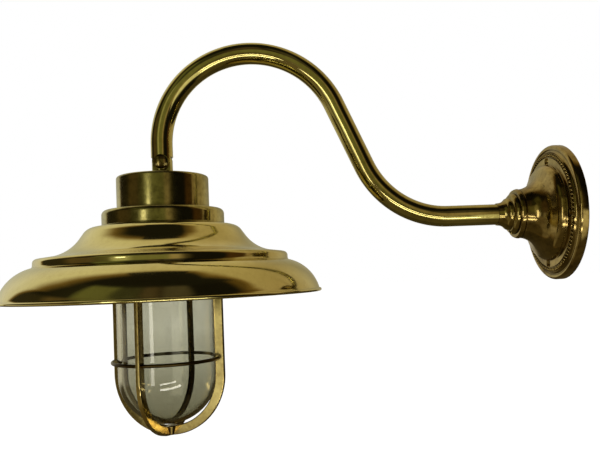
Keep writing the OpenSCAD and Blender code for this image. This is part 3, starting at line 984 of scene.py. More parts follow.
@dataclass
class SwanNeck(Assembly):
    """The bent tube and the lamp lead inside it."""

    body = Body.ARM
    tube_r: float = 9.48
    tube_wall: float = 1.5
    low_bend_r: float = 82.0
    rise_angle: float = 66.0
    rise_len: float = 62.0
    hook_r: float = 81.0
    hook_tail: float = 4.6
    tube_start: float = 44.346
    lead_r: float = 2.2
    lead_turn_at: float = 20.5
    lead_turn_r: float = 8.0

    def placing(self) -> Matrix:
        """The arm is drawn in the row frame."""
        return row_place()

    def sweep(self, start: float, radius: float, tail: float, sides: int) -> Mesh:
        """A round skin that follows the arm, in the row frame.

        Args:
            start: where it begins off the wall.
            radius: its radius.
            tail: how far it runs below the hook.
            sides: how many sides it has.

        Returns:
            The open skin.
        """
        lean = math.radians(self.rise_angle)
        low_bend_run = self.low_bend_r * math.sin(lean)
        bend_at = REACH - low_bend_run - self.rise_len * math.cos(lean) - self.hook_r * (1.0 + math.sin(lean))
        low_bend_rise = self.low_bend_r * (1.0 - math.cos(lean))
        hook_z = low_bend_rise + self.rise_len * math.sin(lean) - self.hook_r * math.cos(lean)
        mesh = bmesh.new()
        turn = shifted(0.0, -start, 0.0) @ turned("X", 90.0)
        bmesh.ops.create_circle(mesh, cap_ends=False, segments=sides, radius=radius, matrix=turn)
        loop = mesh.edges[:]
        loop = self._straight(mesh, loop, (0.0, start - bend_at, 0.0), 4)
        loop = self._bend(mesh, loop, (0.0, -bend_at, self.low_bend_r), -1.0, self.rise_angle)
        run = (0.0, -self.rise_len * math.cos(lean), self.rise_len * math.sin(lean))
        loop = self._straight(mesh, loop, run, 3)
        loop = self._bend(mesh, loop, (0.0, -(REACH - self.hook_r), hook_z), 1.0, 90.0 + self.rise_angle)
        self._straight(mesh, loop, (0.0, 0.0, -tail), 2)
        return mesh

    @staticmethod
    def _straight(mesh: Mesh, loop: Edges, run: Sequence[float], steps: int) -> Edges:
        """Extrudes a loop along a straight run.

        Args:
            mesh: the mesh the loop is in.
            loop: the loop's edges.
            run: where the run leads, from its start.
            steps: how many steps it takes.

        Returns:
            The last loop.
        """
        for _ in range(steps):
            fresh, loop = extruded(mesh, loop)
            bmesh.ops.translate(mesh, verts=fresh, vec=Vector(run) / steps)
        return loop

    @staticmethod
    def _bend(mesh: Mesh, loop: Edges, centre: Sequence[float], side: float, angle: float) -> Edges:
        """Spins a loop round a bend's centre, about a degree at a time.

        Args:
            mesh: the mesh the loop is in.
            loop: the loop's edges.
            centre: the bend's centre.
            side: 1 to bend round +X, -1 round -X.
            angle: how far it bends, in degrees.

        Returns:
            The last loop.
        """
        return spun(mesh, loop, centre, (side, 0.0, 0.0), math.radians(angle), max(8, int(angle)))

    def build(self) -> None:
        """Makes the tube and the lead."""
        tube = self.sweep(self.tube_start, self.tube_r, self.hook_tail, 64)
        tidy(tube)
        bmesh.ops.solidify(tube, geom=tube.faces[:], thickness=self.tube_wall)
        self.put(
            "swan_neck_tube_drawn", tube, self.finishes.arm_brass, "polished_brass", "swan_neck_tube",
            crease=60.0)
        lead = self.sweep(self.lead_turn_at, self.lead_r, self.hook_tail + 2.1, 20)
        first = [e for e in lead.edges if all(abs(v.co.y + self.lead_turn_at) < 1e-4 for v in e.verts)]
        centre = (0.0, -self.lead_turn_at, -self.lead_turn_r)
        loop = self._bend(lead, first, centre, 1.0, 90.0)
        self._straight(lead, loop, (0.0, 0.0, -1.6), 1)
        self.put(
            "arm_lead_sheath", capped(lead), self.finishes.sheath, "white_sheath", "arm_lead", crease=50.0)


@dataclass
class WallRose(Assembly):
    """The cast rose, its ribbed ring, and what it holds behind."""

    body = Body.ARM
    rose_d: float = 124.0
    band_h: float = 10.4
    bell_d: float = 88.0
    shoulder_r: float = 7.5
    sweep: float = 66.0
    flare_r: float = 21.0
    neck_d: float = 45.0
    wall: float = 3.0
    screw_pcd: float = 94.4
    screw_hole_r: float = 2.75
    screw_turn: float = -5.0
    bead_count: int = 90
    socket_r: float = 12.05
    socket_depth: float = 10.5
    block_low: tuple[float, float, float] = (-13.0, -25.0, 6.5)
    block_high: tuple[float, float, float] = (13.0, -10.0, 18.5)
    earth_at: Point = (20.0, 20.0)
    pillar_at: Point = (4.0, -19.0)
    way_pitch: float = 8.0
    well_y: float = -21.5

    def placing(self) -> Matrix:
        """The rose stands off the wall from zero."""
        return wall_place()

    def __post_init__(self) -> None:
        """Works out the heights that several pieces share."""
        lean = math.radians(self.sweep)
        turn = math.radians(180.0 + self.sweep)
        last = math.radians(186.0)
        self.seat_h = self.band_h - 0.8
        self.bead_in = self.screw_pcd / 2.0 + 3.8
        self.shoulder_c = (self.bell_d / 2.0 - self.shoulder_r, self.band_h + 1.0)
        flare_x = self.neck_d / 2.0 - self.flare_r * math.cos(last)
        end = (
            self.shoulder_c[0] + self.shoulder_r * math.cos(lean),
            self.shoulder_c[1] + self.shoulder_r * math.sin(lean))
        self.foot_r = flare_x + self.flare_r * math.cos(turn)
        self.foot_h = end[1] + (end[0] - self.foot_r) / math.tan(lean)
        self.flare_c = (flare_x, self.foot_h - self.flare_r * math.sin(turn))
        self.bulge = self.flare_c[1] + self.flare_r * math.sin(last) + 0.8
        self.top = self.bulge + 4.8
        self.roof = self.top - self.socket_depth

    def casting(self) -> Mesh:
        """The rose's casting: its face outside, its hollow inside, and four countersunk holes.

        Returns:
            The casting, without ribs and bosses.
        """
        rim_r = self.rose_d / 2.0
        cove = self.seat_h - 5.5 - 1.4
        bead_out = self.bead_in + 3.4
        inner = self.shoulder_r - self.wall
        under = self.band_h - self.wall - 0.9
        half = self.bell_d / 2.0
        hollow_r = self.flare_r + self.wall - 0.6
        hollow_end = 180.0 + math.degrees(math.asin((self.flare_c[1] - self.roof) / hollow_r))
        shell = (
            Outline(rim_r - 0.5, 0.0).to((rim_r, 0.6))
            .arc((rim_r - 2.6, 5.5), 2.6, 0.0, 150.0, 20)
            .arc((bead_out + 0.4 + cove, self.seat_h), cove, -90.0, -176.0, 12)
            .to(
                (bead_out + 0.25, self.seat_h + 0.12), (bead_out + 0.1, self.seat_h),
                (self.bead_in - 0.4, self.seat_h))
            .to((self.bead_in - 0.6, self.band_h - 0.15), (self.bead_in - 0.8, self.band_h))
            .to((half + 1.3, self.band_h), (half + 0.4, self.band_h + 0.3))
            .arc(self.shoulder_c, self.shoulder_r, 2.0, self.sweep, 22)
            .arc(self.flare_c, self.flare_r, 180.0 + self.sweep, 186.0, 26)
            .to((self.neck_d / 2.0 - 0.35, self.bulge - 0.5), (self.neck_d / 2.0 - 0.4, self.bulge))
            .arc((self.neck_d / 2.0 - 7.0, self.bulge + 0.4), 7.4, 6.0, 34.0, 12)
            .to((self.neck_d / 2.0 - 3.0, self.top), (self.socket_r, self.top), (self.socket_r, self.roof))
            .arc(self.flare_c, hollow_r, hollow_end, 180.0 + self.sweep, 14)
            .arc(self.shoulder_c, inner, self.sweep, 0.0, 8)
            .to((half - self.wall, under), (rim_r - 6.0, under), (rim_r - 6.0, 0.0))
            .closed()
        ).lathe(240)
        holes = []
        for number in range(4):
            turn = turned("Z", self.screw_turn + 90.0 * number)
            spot = turn @ shifted(self.screw_pcd / 2.0, 0.0, 0.0)
            hole = (
                Outline(0.0, -1.0).to((self.screw_hole_r, -1.0), (self.screw_hole_r, self.band_h - 1.5))
                .to(
                    (self.screw_hole_r + 1.55, self.band_h + 0.05),
                    (self.screw_hole_r + 1.55, self.band_h + 0.6), (0.0, self.band_h + 0.6))
            ).lathe(40)
            holes.append(moved(hole, spot))
        return combined(shell, gathered(*holes), "DIFFERENCE")

    def bosses(self) -> Mesh:
        """The two bosses in the hollow, one for the earth screw and one for the connector."""
        earth = drum(4.0, 10.0, 22.3, 0.5, 40)
        pillar = drum(3.5, 18.5, 30.5, 0.0, 36)
        return gathered(
            moved(earth, shifted(*self.earth_at, 0.0)),
            moved(pillar, shifted(*self.pillar_at, 0.0)))

    def ribs(self) -> Mesh:
        """The ring of small rounded ribs round the band.

        Returns:
            All ribs in one mesh.
        """
        mesh = bmesh.new()
        middle = shifted(self.bead_in + 1.75, 0.0, self.seat_h + 0.05)
        half_sizes = Matrix.Diagonal((1.75, 1.25, 1.5, 1.0))
        bmesh.ops.create_uvsphere(
            mesh, u_segments=14, v_segments=8, radius=1.0, matrix=middle @ half_sizes)
        geom = mesh.verts[:] + mesh.edges[:] + mesh.faces[:]
        step = FULL_TURN / self.bead_count
        bmesh.ops.spin(
            mesh, geom=geom, cent=(0.0, 0.0, 0.0), axis=(0.0, 0.0, 1.0), angle=FULL_TURN - step,
            steps=self.bead_count - 1, use_merge=False, use_duplicate=True)
        return mesh

    def wiring(self) -> None:
        """The bush, the connector with its screws, the earth screw and three cores."""
        made = self.finishes
        bush = (
            Outline(2.25, self.roof + 8.0).to((2.25, self.roof - 2.0), (9.6, self.roof - 2.0))
            .arc((9.6, self.roof - 1.0), 1.0, -90.0, 60.0, 6).to((7.55, self.roof), (7.55, self.roof + 7.5))
            .to((7.0, self.roof + 8.0)).closed()
        ).lathe(48)
        self.put("rose_bush_moulded", bush, made.rubber, "black_rubber", "rose_bush")
        body = block(self.block_low, self.block_high, 0.8)
        for way in (-1, 0, 1):
            x = way * self.way_pitch
            tower = moved(drum(3.4, 6.5, 8.6, 0.3, 32), shifted(x, self.well_y, 0.0))
            body = combined(body, tower, "UNION")
            mouth = moved(drum(1.6, -1.0, 7.0, 0.0, 28), shifted(x, -25.0, 12.5) @ turned("X", -90.0))
            body = combined(body, mouth, "DIFFERENCE")
            well = moved(drum(1.8, 0.0, 12.5, 0.0, 28), shifted(x, self.well_y, 0.0))
            body = combined(body, well, "DIFFERENCE")
        for x in (-4.0, 4.0):
            body = combined(body, block((x - 0.5, -26.0, 5.0), (x + 0.5, -9.0, 7.6)), "DIFFERENCE")
        hole = moved(drum(1.55, 0.0, 20.0, 0.0, 28), shifted(*self.pillar_at, 0.0))
        body = combined(body, hole, "DIFFERENCE")
        self.put("terminal_block_moulded", body, made.ivory, "ivory_plastic", "terminal_block")
        flip = turned("X", 180.0)
        small = []
        for way in (-1, 0, 1):
            place = shifted(way * self.way_pitch, self.well_y, 8.9) @ flip
            small.append(moved(slotted_screw(1.2, 3.0, 1.7, 1.4, 0.5), place))
        fixing = moved(slotted_screw(1.5, 15.5, 2.8, 1.6, 0.6), shifted(*self.pillar_at, 6.5) @ flip)
        self.put(
            "terminal_screws_slotted", gathered(*small, fixing), made.steel, "zinc_steel",
            "terminal_screws")
        earth = moved(slotted_screw(2.0, 7.0, 3.6, 2.0, 0.8), shifted(*self.earth_at, 10.0) @ flip)
        self.put("earth_screw_slotted", earth, made.contact_brass, "polished_brass", "earth_screw")
        cores = (
            (
                "brown_core_wire", made.core_brown,
                [(-0.9, -9.4, 12.5), (-5.0, -8.4, 13.5), (-8.0, -9.4, 12.8), (-8.0, -11.5, 12.5)]),
            (
                "blue_core_wire", made.core_blue,
                [(0.9, -9.4, 12.5), (5.0, -8.4, 13.5), (8.0, -9.4, 12.8), (8.0, -11.5, 12.5)]),
            (
                "green_core_wire", made.core_green,
                [(0.6, -9.2, 13.2), (8.0, -2.0, 15.0), (14.0, 9.0, 12.0), (18.4, 16.6, 9.2)]),
        )
        for name, finish, route in cores:
            self.put(name, wire(route, 0.75), finish, "white_sheath")

    def build(self) -> None:
        """Makes the rose and its wiring."""
        casting = gathered(self.casting(), self.bosses(), self.ribs())
        self.put("wall_rose_cast", casting, self.finishes.rose_brass, "cast_brass", "wall_rose", crease=40.0)
        self.wiring()


@dataclass
class Ferrule(Assembly):
    """The turned ferrule between rose and tube, with its grub screw."""

    body = Body.ARM
    foot: float = 42.944
    length: float = 16.4
    socket_r: float = 12.0
    step_r: float = 18.8
    nose_r: float = 10.3
    bore_r: float = 7.6
    tube_bore_r: float = 9.55

    def placing(self) -> Matrix:
        """The ferrule stands on the rose."""
        return wall_place(self.foot)

    def build(self) -> None:
        """Makes the ferrule and the grub screw."""
        mid_r = (self.step_r + self.nose_r) / 2.0
        body = (
            Outline(self.bore_r, -10.2).to(
                (self.socket_r - 0.5, -10.2), (self.socket_r, -9.7), (self.socket_r, 0.02))
            .to((self.step_r - 0.3, 0.02)).arc((self.step_r - 4.2, 0.3), 4.2, 0.0, 74.0, 14)
            .to((mid_r + 0.9, 4.35), (mid_r + 0.35, 4.6), (mid_r + 0.15, 4.95))
            .arc((mid_r - 4.0, 5.3), 4.2, 0.0, 66.0, 12)
            .to(
                (self.nose_r + 2.35, 8.95), (self.nose_r + 2.05, 9.3), (self.nose_r + 1.5, 10.1),
                (self.nose_r + 0.9, 11.2))
            .to(
                (self.nose_r + 0.5, 12.1), (self.nose_r + 0.22, 13.2), (self.nose_r + 0.08, 14.4),
                (self.nose_r, self.length - 0.5))
            .to(
                (self.nose_r - 0.15, self.length - 0.12), (self.nose_r - 0.5, self.length),
                (self.tube_bore_r, self.length))
            .to((self.tube_bore_r, 1.2), (self.bore_r, 1.2)).closed()
        ).lathe(128)
        hole = moved(drum(2.05, 0.0, 30.0, 0.0, 32), shifted(0.0, 0.0, 3.2) @ turned("X", 90.0))
        body = combined(body, hole, "DIFFERENCE")
        self.put(
            "neck_ferrule_turned", body, self.finishes.turned_arm, "polished_brass", "neck_ferrule",
            crease=30.0)
        grub = drum(2.0, 0.0, 5.6, 0.3, 32)
        grub = combined(grub, drum(1.1, 4.0, 6.5, 0.0, 6), "DIFFERENCE")
        spot = shifted(0.0, -9.55, 3.2) @ turned("X", 90.0)
        self.put(
            "ferrule_grub_screw_socket", moved(grub, spot), self.finishes.steel, "zinc_steel",
            "ferrule_grub_screw")


@dataclass
class Knuckle(Assembly):
    """The fork on the arm, the tongue on the cap and the two pivot screws."""

    body = Body.ARM
    tube_r: float = 9.5
    tube_in_r: float = 7.95
    tongue_t: float = 10.0
    gap: float = 0.3
    cheek_r: float = 7.0
    stub_r: float = 9.0
    body_h: float = 11.7
    cap_top: float = -12.5
    spot_x: float = 7.0
    head_r: float = 6.2
    head_h: float = 2.6
    dome_h: float = 1.5
    tilt_room: float = 4.8

    def fork(self) -> Mesh:
        """The fork: plug, round body and two round cheeks with spot faces.

        Returns:
            The fork's solid.
        """
        sideways = turned("Y", 90.0)
        body = drum(self.tube_r, -self.cheek_r - 2.0, self.body_h, 0.0, 96)
        mould = combined(
            block((-12.0, -12.0, 0.0), (12.0, 12.0, self.body_h + 2.0)),
            moved(drum(self.cheek_r, -11.0, 11.0, 0.0, 90), sideways), "UNION")
        body = combined(body, mould, "INTERSECT")
        slot_half = self.tongue_t / 2.0 + self.gap
        roof = self.stub_r + self.gap
        slot = moved(drum(roof, -slot_half, slot_half, 0.0, 96), sideways)
        slot = combined(
            slot, block((-slot_half, -roof - 3.0, -20.0), (slot_half, roof + 3.0, self.tilt_room)), "UNION")
        faces = [
            moved(drum(self.head_r + 0.3, 0.0, 4.0, 0.0, 64), shifted(inset, 0.0, 0.0) @ sideways)
            for inset in (self.spot_x, -self.spot_x - 4.0)]
        body = combined(body, gathered(slot, *faces), "DIFFERENCE")
        round_off(body, sharp_edges(body), 0.25, 2)
        plug = drum(self.tube_in_r, self.body_h - 1.0, self.body_h + 4.6, 0.3, 64)
        return gathered(body, plug)

    def tongue(self) -> Mesh:
        """The stub on the cap: a round foot, a flat rounded tongue and a spigot.

        Returns:
            The stub's solid.
        """
        shoulder = -self.cheek_r - 0.4
        foot = (
            Outline(0.0, self.cap_top).to(
                (self.stub_r + 0.8, self.cap_top), (self.stub_r + 0.45, self.cap_top + 0.5))
            .to(
                (self.stub_r + 0.05, self.cap_top + 1.2), (self.stub_r, shoulder - 0.4),
                (self.stub_r - 0.4, shoulder), (0.0, shoulder))
        ).lathe(96)
        sideways = turned("Y", 90.0)
        half = self.tongue_t / 2.0
        blade = moved(drum(self.stub_r, -half, half, 0.0, 96), sideways)
        blade = combined(
            blade, block((-half, -self.stub_r, shoulder - 0.6), (half, self.stub_r, 0.0)), "UNION")
        blade = combined(blade, drum(self.stub_r, shoulder - 1.0, 20.0, 0.0, 96), "INTERSECT")
        round_off(blade, sharp_edges(blade), 0.3, 2)
        spigot = drum(6.0, self.cap_top - 8.5, self.cap_top + 0.5, 0.4, 48)
        return gathered(foot, blade, spigot)

    def build(self) -> None:
        """Makes the fork, the tongue, the pivot screws and the locknut."""
        made = self.finishes
        self.put("arm_fork_milled", self.fork(), made.arm_brass, "cast_brass", "arm_fork", crease=40.0)
        self.put(
            "cap_stub_milled", self.tongue(), made.head_brass, "polished_brass", "cap_stub", crease=40.0,
            body=Body.HEAD)
        dome = (self.head_r ** 2 + self.dome_h ** 2) / (2.0 * self.dome_h)
        open_angle = math.degrees(math.asin(self.head_r / dome))
        crown = self.spot_x + self.head_h
        screws = []
        for side in (0.0, 180.0):
            head = (
                Outline(0.0, 3.1).to(
                    (2.0, 3.1), (2.0, 5.3), (2.5, 5.3), (2.5, self.spot_x),
                    (self.head_r - 0.05, self.spot_x))
                .arc((0.0, crown - dome), dome, 90.0 - open_angle + 0.6, 90.0, 16)
            ).lathe(56)
            cut = block((-7.0, -0.45, crown - 0.8), (7.0, 0.45, crown + 1.0))
            head = combined(head, cut, "DIFFERENCE")
            aim = turned("Z", side) @ turned("Y", 90.0) @ turned("Z", 35.0)
            screws.append(moved(head, aim))
        self.put(
            "pivot_screws_domed", gathered(*screws), made.screw_brass, "polished_brass", "pivot_screws",
            crease=30.0)
        nut = drum(10.5, self.cap_top - 7.0, self.cap_top - 3.0, 0.0, 6)
        round_off(nut, nut.edges[:], 0.5)
        bore = drum(6.05, self.cap_top - 9.0, self.cap_top, 0.0, 48)
        nut = combined(nut, bore, "DIFFERENCE")
        self.put("stub_locknut_hex", nut, made.head_brass, "polished_brass", "stub_locknut", body=Body.HEAD)


@dataclass
class Housing(Assembly):
    """The turned cap and the collar under it."""

    cap_r: float = 39.7
    cap_top: float = -12.5
    slope_top: float = -40.5
    collar_top: float = -44.5
    collar_foot: float = -56.5
    collar_r: float = 52.5
    spigot_r: float = 47.0
    spigot_foot: float = -78.0
    post_x: float = 26.0
    strap_top: float = -33.0

    def build(self) -> None:
        """Makes the cap and the collar."""
        made = self.finishes
        edge = 2.4
        inner = self.cap_r - 2.5
        cap = (
            Outline(6.05, self.cap_top - 3.0).to((inner, self.cap_top - 3.0), (inner, self.collar_top - 1.0))
            .to((self.cap_r, self.collar_top - 1.0), (self.cap_r, self.cap_top - 12.0))
            .arc((self.cap_r - edge, self.cap_top - edge), edge, 0.0, 90.0, 14)
            .to((self.cap_r - 8.0, self.cap_top), (6.05, self.cap_top)).closed()
        ).lathe(192)
        posts = []
        for side in (-1.0, 1.0):
            post = drum(4.0, self.strap_top, self.cap_top - 2.0, 0.4, 40)
            posts.append(moved(post, shifted(side * self.post_x, 0.0, 0.0)))
        self.put(
            "housing_cap_turned", gathered(cap, *posts), made.head_brass, "polished_brass", "housing_cap")
        corner = 4.5
        seat = self.collar_top - 2.5
        lip = self.collar_r + 0.7
        root = self.spigot_r - 0.5
        collar = (
            Outline(self.cap_r - 3.2, seat).to(
                (self.cap_r + 0.05, seat), (self.cap_r + 0.05, self.slope_top - 0.3),
                (self.cap_r + 0.35, self.slope_top - 0.1))
            .arc((self.collar_r - corner, self.collar_top - 1.8), corner, 62.0, 0.0, 14)
            .to((self.collar_r, self.collar_foot + 1.7), (self.collar_r + 0.1, self.collar_foot + 1.35))
            .arc((lip - 0.4, self.collar_foot + 0.75), 0.4, 70.0, -70.0, 8)
            .to(
                (lip - 0.5, self.collar_foot), (self.spigot_r, self.collar_foot),
                (self.spigot_r, self.collar_foot - 9.6))
            .to(
                (root, self.collar_foot - 10.2), (root, self.spigot_foot + 0.8),
                (root - 0.7, self.spigot_foot))
            .to(
                (self.spigot_r - 6.0, self.spigot_foot), (self.spigot_r - 6.0, seat - 5.0),
                (self.cap_r - 3.2, seat - 4.0)).closed()
        ).lathe(192)
        ridge = thread_ridge(root, 0.5, 1.9, self.spigot_foot + 1.6, 4.6)
        self.put(
            "housing_collar_turned", gathered(collar, ridge), made.head_brass, "polished_brass",
            "housing_collar")


@dataclass
class SpunShade(Assembly):
    """The spun shade with its washer and ring nut."""

    top: float = -56.5
    inner_r: float = 47.3
    sheet: float = 1.2
    flat_r: float = 58.0
    shoulder_r: float = 11.5
    lean: float = 55.0
    slope: float = 5.9
    sweep_r: float = 35.0
    ledge_lean: float = 8.0
    ledge_w: float = 10.0
    bead_r: float = 3.5
    skirt_r: float = 36.0
    rim_r: float = 1.5

    def placing(self) -> Matrix:
        """The shade hangs from its flat top."""
        return head_place() @ shifted(0.0, 0.0, self.top)

    def line(self, offset: float) -> Outline:
        """The shade's profile, moved inwards by an offset.

        Args:
            offset: how far it lies under the outer face.

        Returns:
            The open outline, from the bore to the rim.
        """
        lean = math.radians(self.lean)
        flat = math.radians(self.ledge_lean)
        stop = 90.0 - self.lean
        shoulder = (self.flat_r, -self.shoulder_r)
        over = math.radians(stop)
        foot = (
            shoulder[0] + self.shoulder_r * math.cos(over) + self.slope * math.cos(lean),
            shoulder[1] + self.shoulder_r * math.sin(over) - self.slope * math.sin(lean))
        sweep = (foot[0] + self.sweep_r * math.sin(lean), foot[1] + self.sweep_r * math.cos(lean))
        under = math.radians(270.0 - self.ledge_lean)
        ledge = (
            sweep[0] + self.sweep_r * math.cos(under) + self.ledge_w * math.cos(flat),
            sweep[1] + self.sweep_r * math.sin(under) - self.ledge_w * math.sin(flat))
        bead = (ledge[0] - self.bead_r * math.sin(flat), ledge[1] - self.bead_r * math.cos(flat))
        lip = (
            bead[0] + self.bead_r * math.cos(math.radians(4.0)),
            bead[1] + self.bead_r * math.sin(math.radians(4.0)))
        hem = (lip[0] + 0.1, lip[1] - 3.4)
        turn = (hem[0] + 1.5, hem[1] - 0.8)
        skirt = (
            turn[0] - self.skirt_r * math.sin(math.radians(15.0)),
            turn[1] - self.skirt_r * math.cos(math.radians(15.0)))
        walk = Outline(self.inner_r, -offset)
        walk.arc(shoulder, self.shoulder_r - offset, 90.0, stop, 18)
        walk.arc(sweep, self.sweep_r + offset, 270.0 - self.lean, 270.0 - self.ledge_lean, 24)
        walk.arc(bead, self.bead_r - offset, 90.0 - self.ledge_lean, 2.0, 14)
        walk.to((hem[0] - offset * 0.96, hem[1] + 1.0 - offset * 0.4))
        walk.to((hem[0] + 0.28 - offset * 0.75, hem[1] + 0.15 - offset * 0.75))
        walk.arc(skirt, self.skirt_r - offset, 76.5, 15.0, 40)
        self.rim = (
            skirt[0] + self.skirt_r * math.cos(math.radians(15.0)) + 0.5,
            skirt[1] + self.skirt_r * math.sin(math.radians(15.0)) - self.rim_r - 0.3)
        return walk

    def build(self) -> None:
        """Makes the shade and the ring nut."""
        made = self.finishes
        outer = self.line(0.0)
        outer.to((self.rim[0] + 0.5, self.rim[1]))
        inner = self.line(self.sheet)
        inner.to((self.rim[0] - 0.5, self.rim[1]))
        count = len(outer.mesh.verts)
        verts = gathered(outer.mesh, inner.mesh).verts
        verts.ensure_lookup_table()
        rims = [max(part, key=lambda v: v.co.x) for part in (verts[:count], verts[count:])]
        outer.mesh.edges.new(rims)
        starts = sorted((v for v in verts if abs(v.co.x - self.inner_r) < 1e-4), key=lambda v: v.co.z)
        outer.mesh.edges.new((starts[0], starts[-1]))
        skin = outer.lathe(288)
        rim = round_ring(self.rim, self.rim_r, 288)
        self.put(
            "spun_shade_sheet", gathered(skin, rim), made.shade_brass, "polished_brass", "spun_shade",
            crease=50.0)
        nut = (
            Outline(47.05, -7.2).to((53.9, -7.2)).arc((54.4, -6.7), 0.6, -90.0, 0.0, 6)
            .arc((54.4, -2.8), 0.6, 0.0, 90.0, 6).to((47.05, -2.2)).closed()
        ).lathe(144)
        slots = [
            moved(block((52.5, -2.0, -8.2), (57.5, 2.0, -4.2)), turned("Z", 45.0 + 90.0 * number))
            for number in range(4)]
        nut = combined(nut, gathered(*slots), "DIFFERENCE")
        self.put("shade_ring_nut_turned", nut, made.head_brass, "polished_brass", "shade_ring_nut")


@dataclass
class Lampholder(Assembly):
    """The porcelain lampholder on its strap, with shell, contact and lead."""

    strap_top: float = -33.0
    strap_t: float = 2.0
    body_r: float = 21.0
    body_h: float = 44.0
    shell_r: float = 13.3
    shell_len: float = 24.0
    post_x: float = 26.0
    screw_x: float = 14.0

    def build(self) -> None:
        """Makes the lampholder's pieces."""
        made = self.finishes
        top = self.strap_top - self.strap_t
        foot = top - self.body_h
        porcelain = (
            Outline(2.6, top).to((self.body_r - 3.4, top)).arc(
                (self.body_r - 3.0, top - 3.0), 3.0, 90.0, 0.0, 10)
            .to((self.body_r, foot + 14.0), (self.body_r - 0.6, foot + 13.0), (self.body_r - 0.6, foot + 7.0))
            .arc((self.body_r - 3.2, foot + 3.2), 2.6, 0.0, -60.0, 8)
            .arc(
                (self.body_r - 4.4, foot + 1.4), 1.4, -45.0, -120.0,
                5).to((14.6, foot + 0.5), (14.05, foot + 1.2))
            .to(
                (14.05, foot + self.shell_len + 3.0), (9.0, foot + self.shell_len + 3.0), (9.0, top - 9.4),
                (8.6, top - 9.0), (2.6, top - 9.0))
            .closed()
        ).lathe(96)
        self.put(
            "porcelain_holder_glazed", porcelain, made.porcelain, "porcelain", "porcelain_holder",
            crease=40.0)
        low = foot + 3.0
        shell = (
            Outline(self.shell_r + 0.7, low).to(
                (self.shell_r + 0.7, low + self.shell_len), (self.shell_r + 0.1, low + self.shell_len))
            .to((self.shell_r + 0.1, low + 0.3), (self.shell_r + 0.3, low)).closed()
        ).lathe(96)
        thread = thread_ridge(self.shell_r + 0.1, -0.75, 3.6, low + 2.4, 5.4)
        self.put(
            "threaded_shell_rolled", gathered(shell, thread), made.contact_brass, "polished_brass",
            "threaded_shell", crease=50.0)
        screws = [
            moved(slotted_screw(1.5, 10.0, 2.9, 2.0, 0.7), shifted(side * self.screw_x, 0.0, self.strap_top))
            for side in (-1.0, 1.0)]
        self.put("holder_screws_slotted", gathered(*screws), made.steel, "zinc_steel", "holder_screws")
        flip = turned("X", 180.0)
        screws = [
            moved(slotted_screw(1.75, 10.0, 3.4, 2.2, 0.8), shifted(side * self.post_x, 0.0, top) @ flip)
            for side in (-1.0, 1.0)]
        self.put("strap_screws_slotted", gathered(*screws), made.steel, "zinc_steel", "strap_screws")


@dataclass
class GlassJar(Assembly):
    """The glass jar with its flange."""

    body = Body.GLASS
    radius: float = 42.5
    wall: float = 3.0
    flange_r: float = 46.8
    flange_top: float = -81.3
    flange_t: float = 4.0
    dome_z: float = -185.5

    def build(self) -> None:
        """Makes the jar."""
        inner = self.radius - self.wall
        under = self.flange_top - self.flange_t
        jar = (
            Outline(inner, self.flange_top - 0.8).arc(
                (inner + 0.8, self.flange_top - 0.8), 0.8, 180.0, 90.0, 5)
            .arc((self.flange_r - 1.2, self.flange_top - 1.2), 1.2, 90.0, 0.0, 6)
            .arc((self.flange_r - 1.0, under + 1.0), 1.0, 0.0, -90.0, 5)
            .to((self.radius + 1.0, under), (self.radius + 0.3, under - 0.3), (self.radius, under - 1.4))
            .arc((0.0, self.dome_z), self.radius, 0.0, -90.0, 48)
        )
        jar.arc((0.0, self.dome_z), inner, -90.0, 0.0, 48)
        seam = [e for e in jar.mesh.edges if all(abs(v.co.x) < 1e-3 for v in e.verts)]
        bmesh.ops.delete(jar.mesh, geom=seam, context="EDGES")
        jar.closed()
        self.put(
            "glass_dome_blown", jar.lathe(144), self.finishes.glass, "clear_glass", "glass_dome",
            crease=60.0)


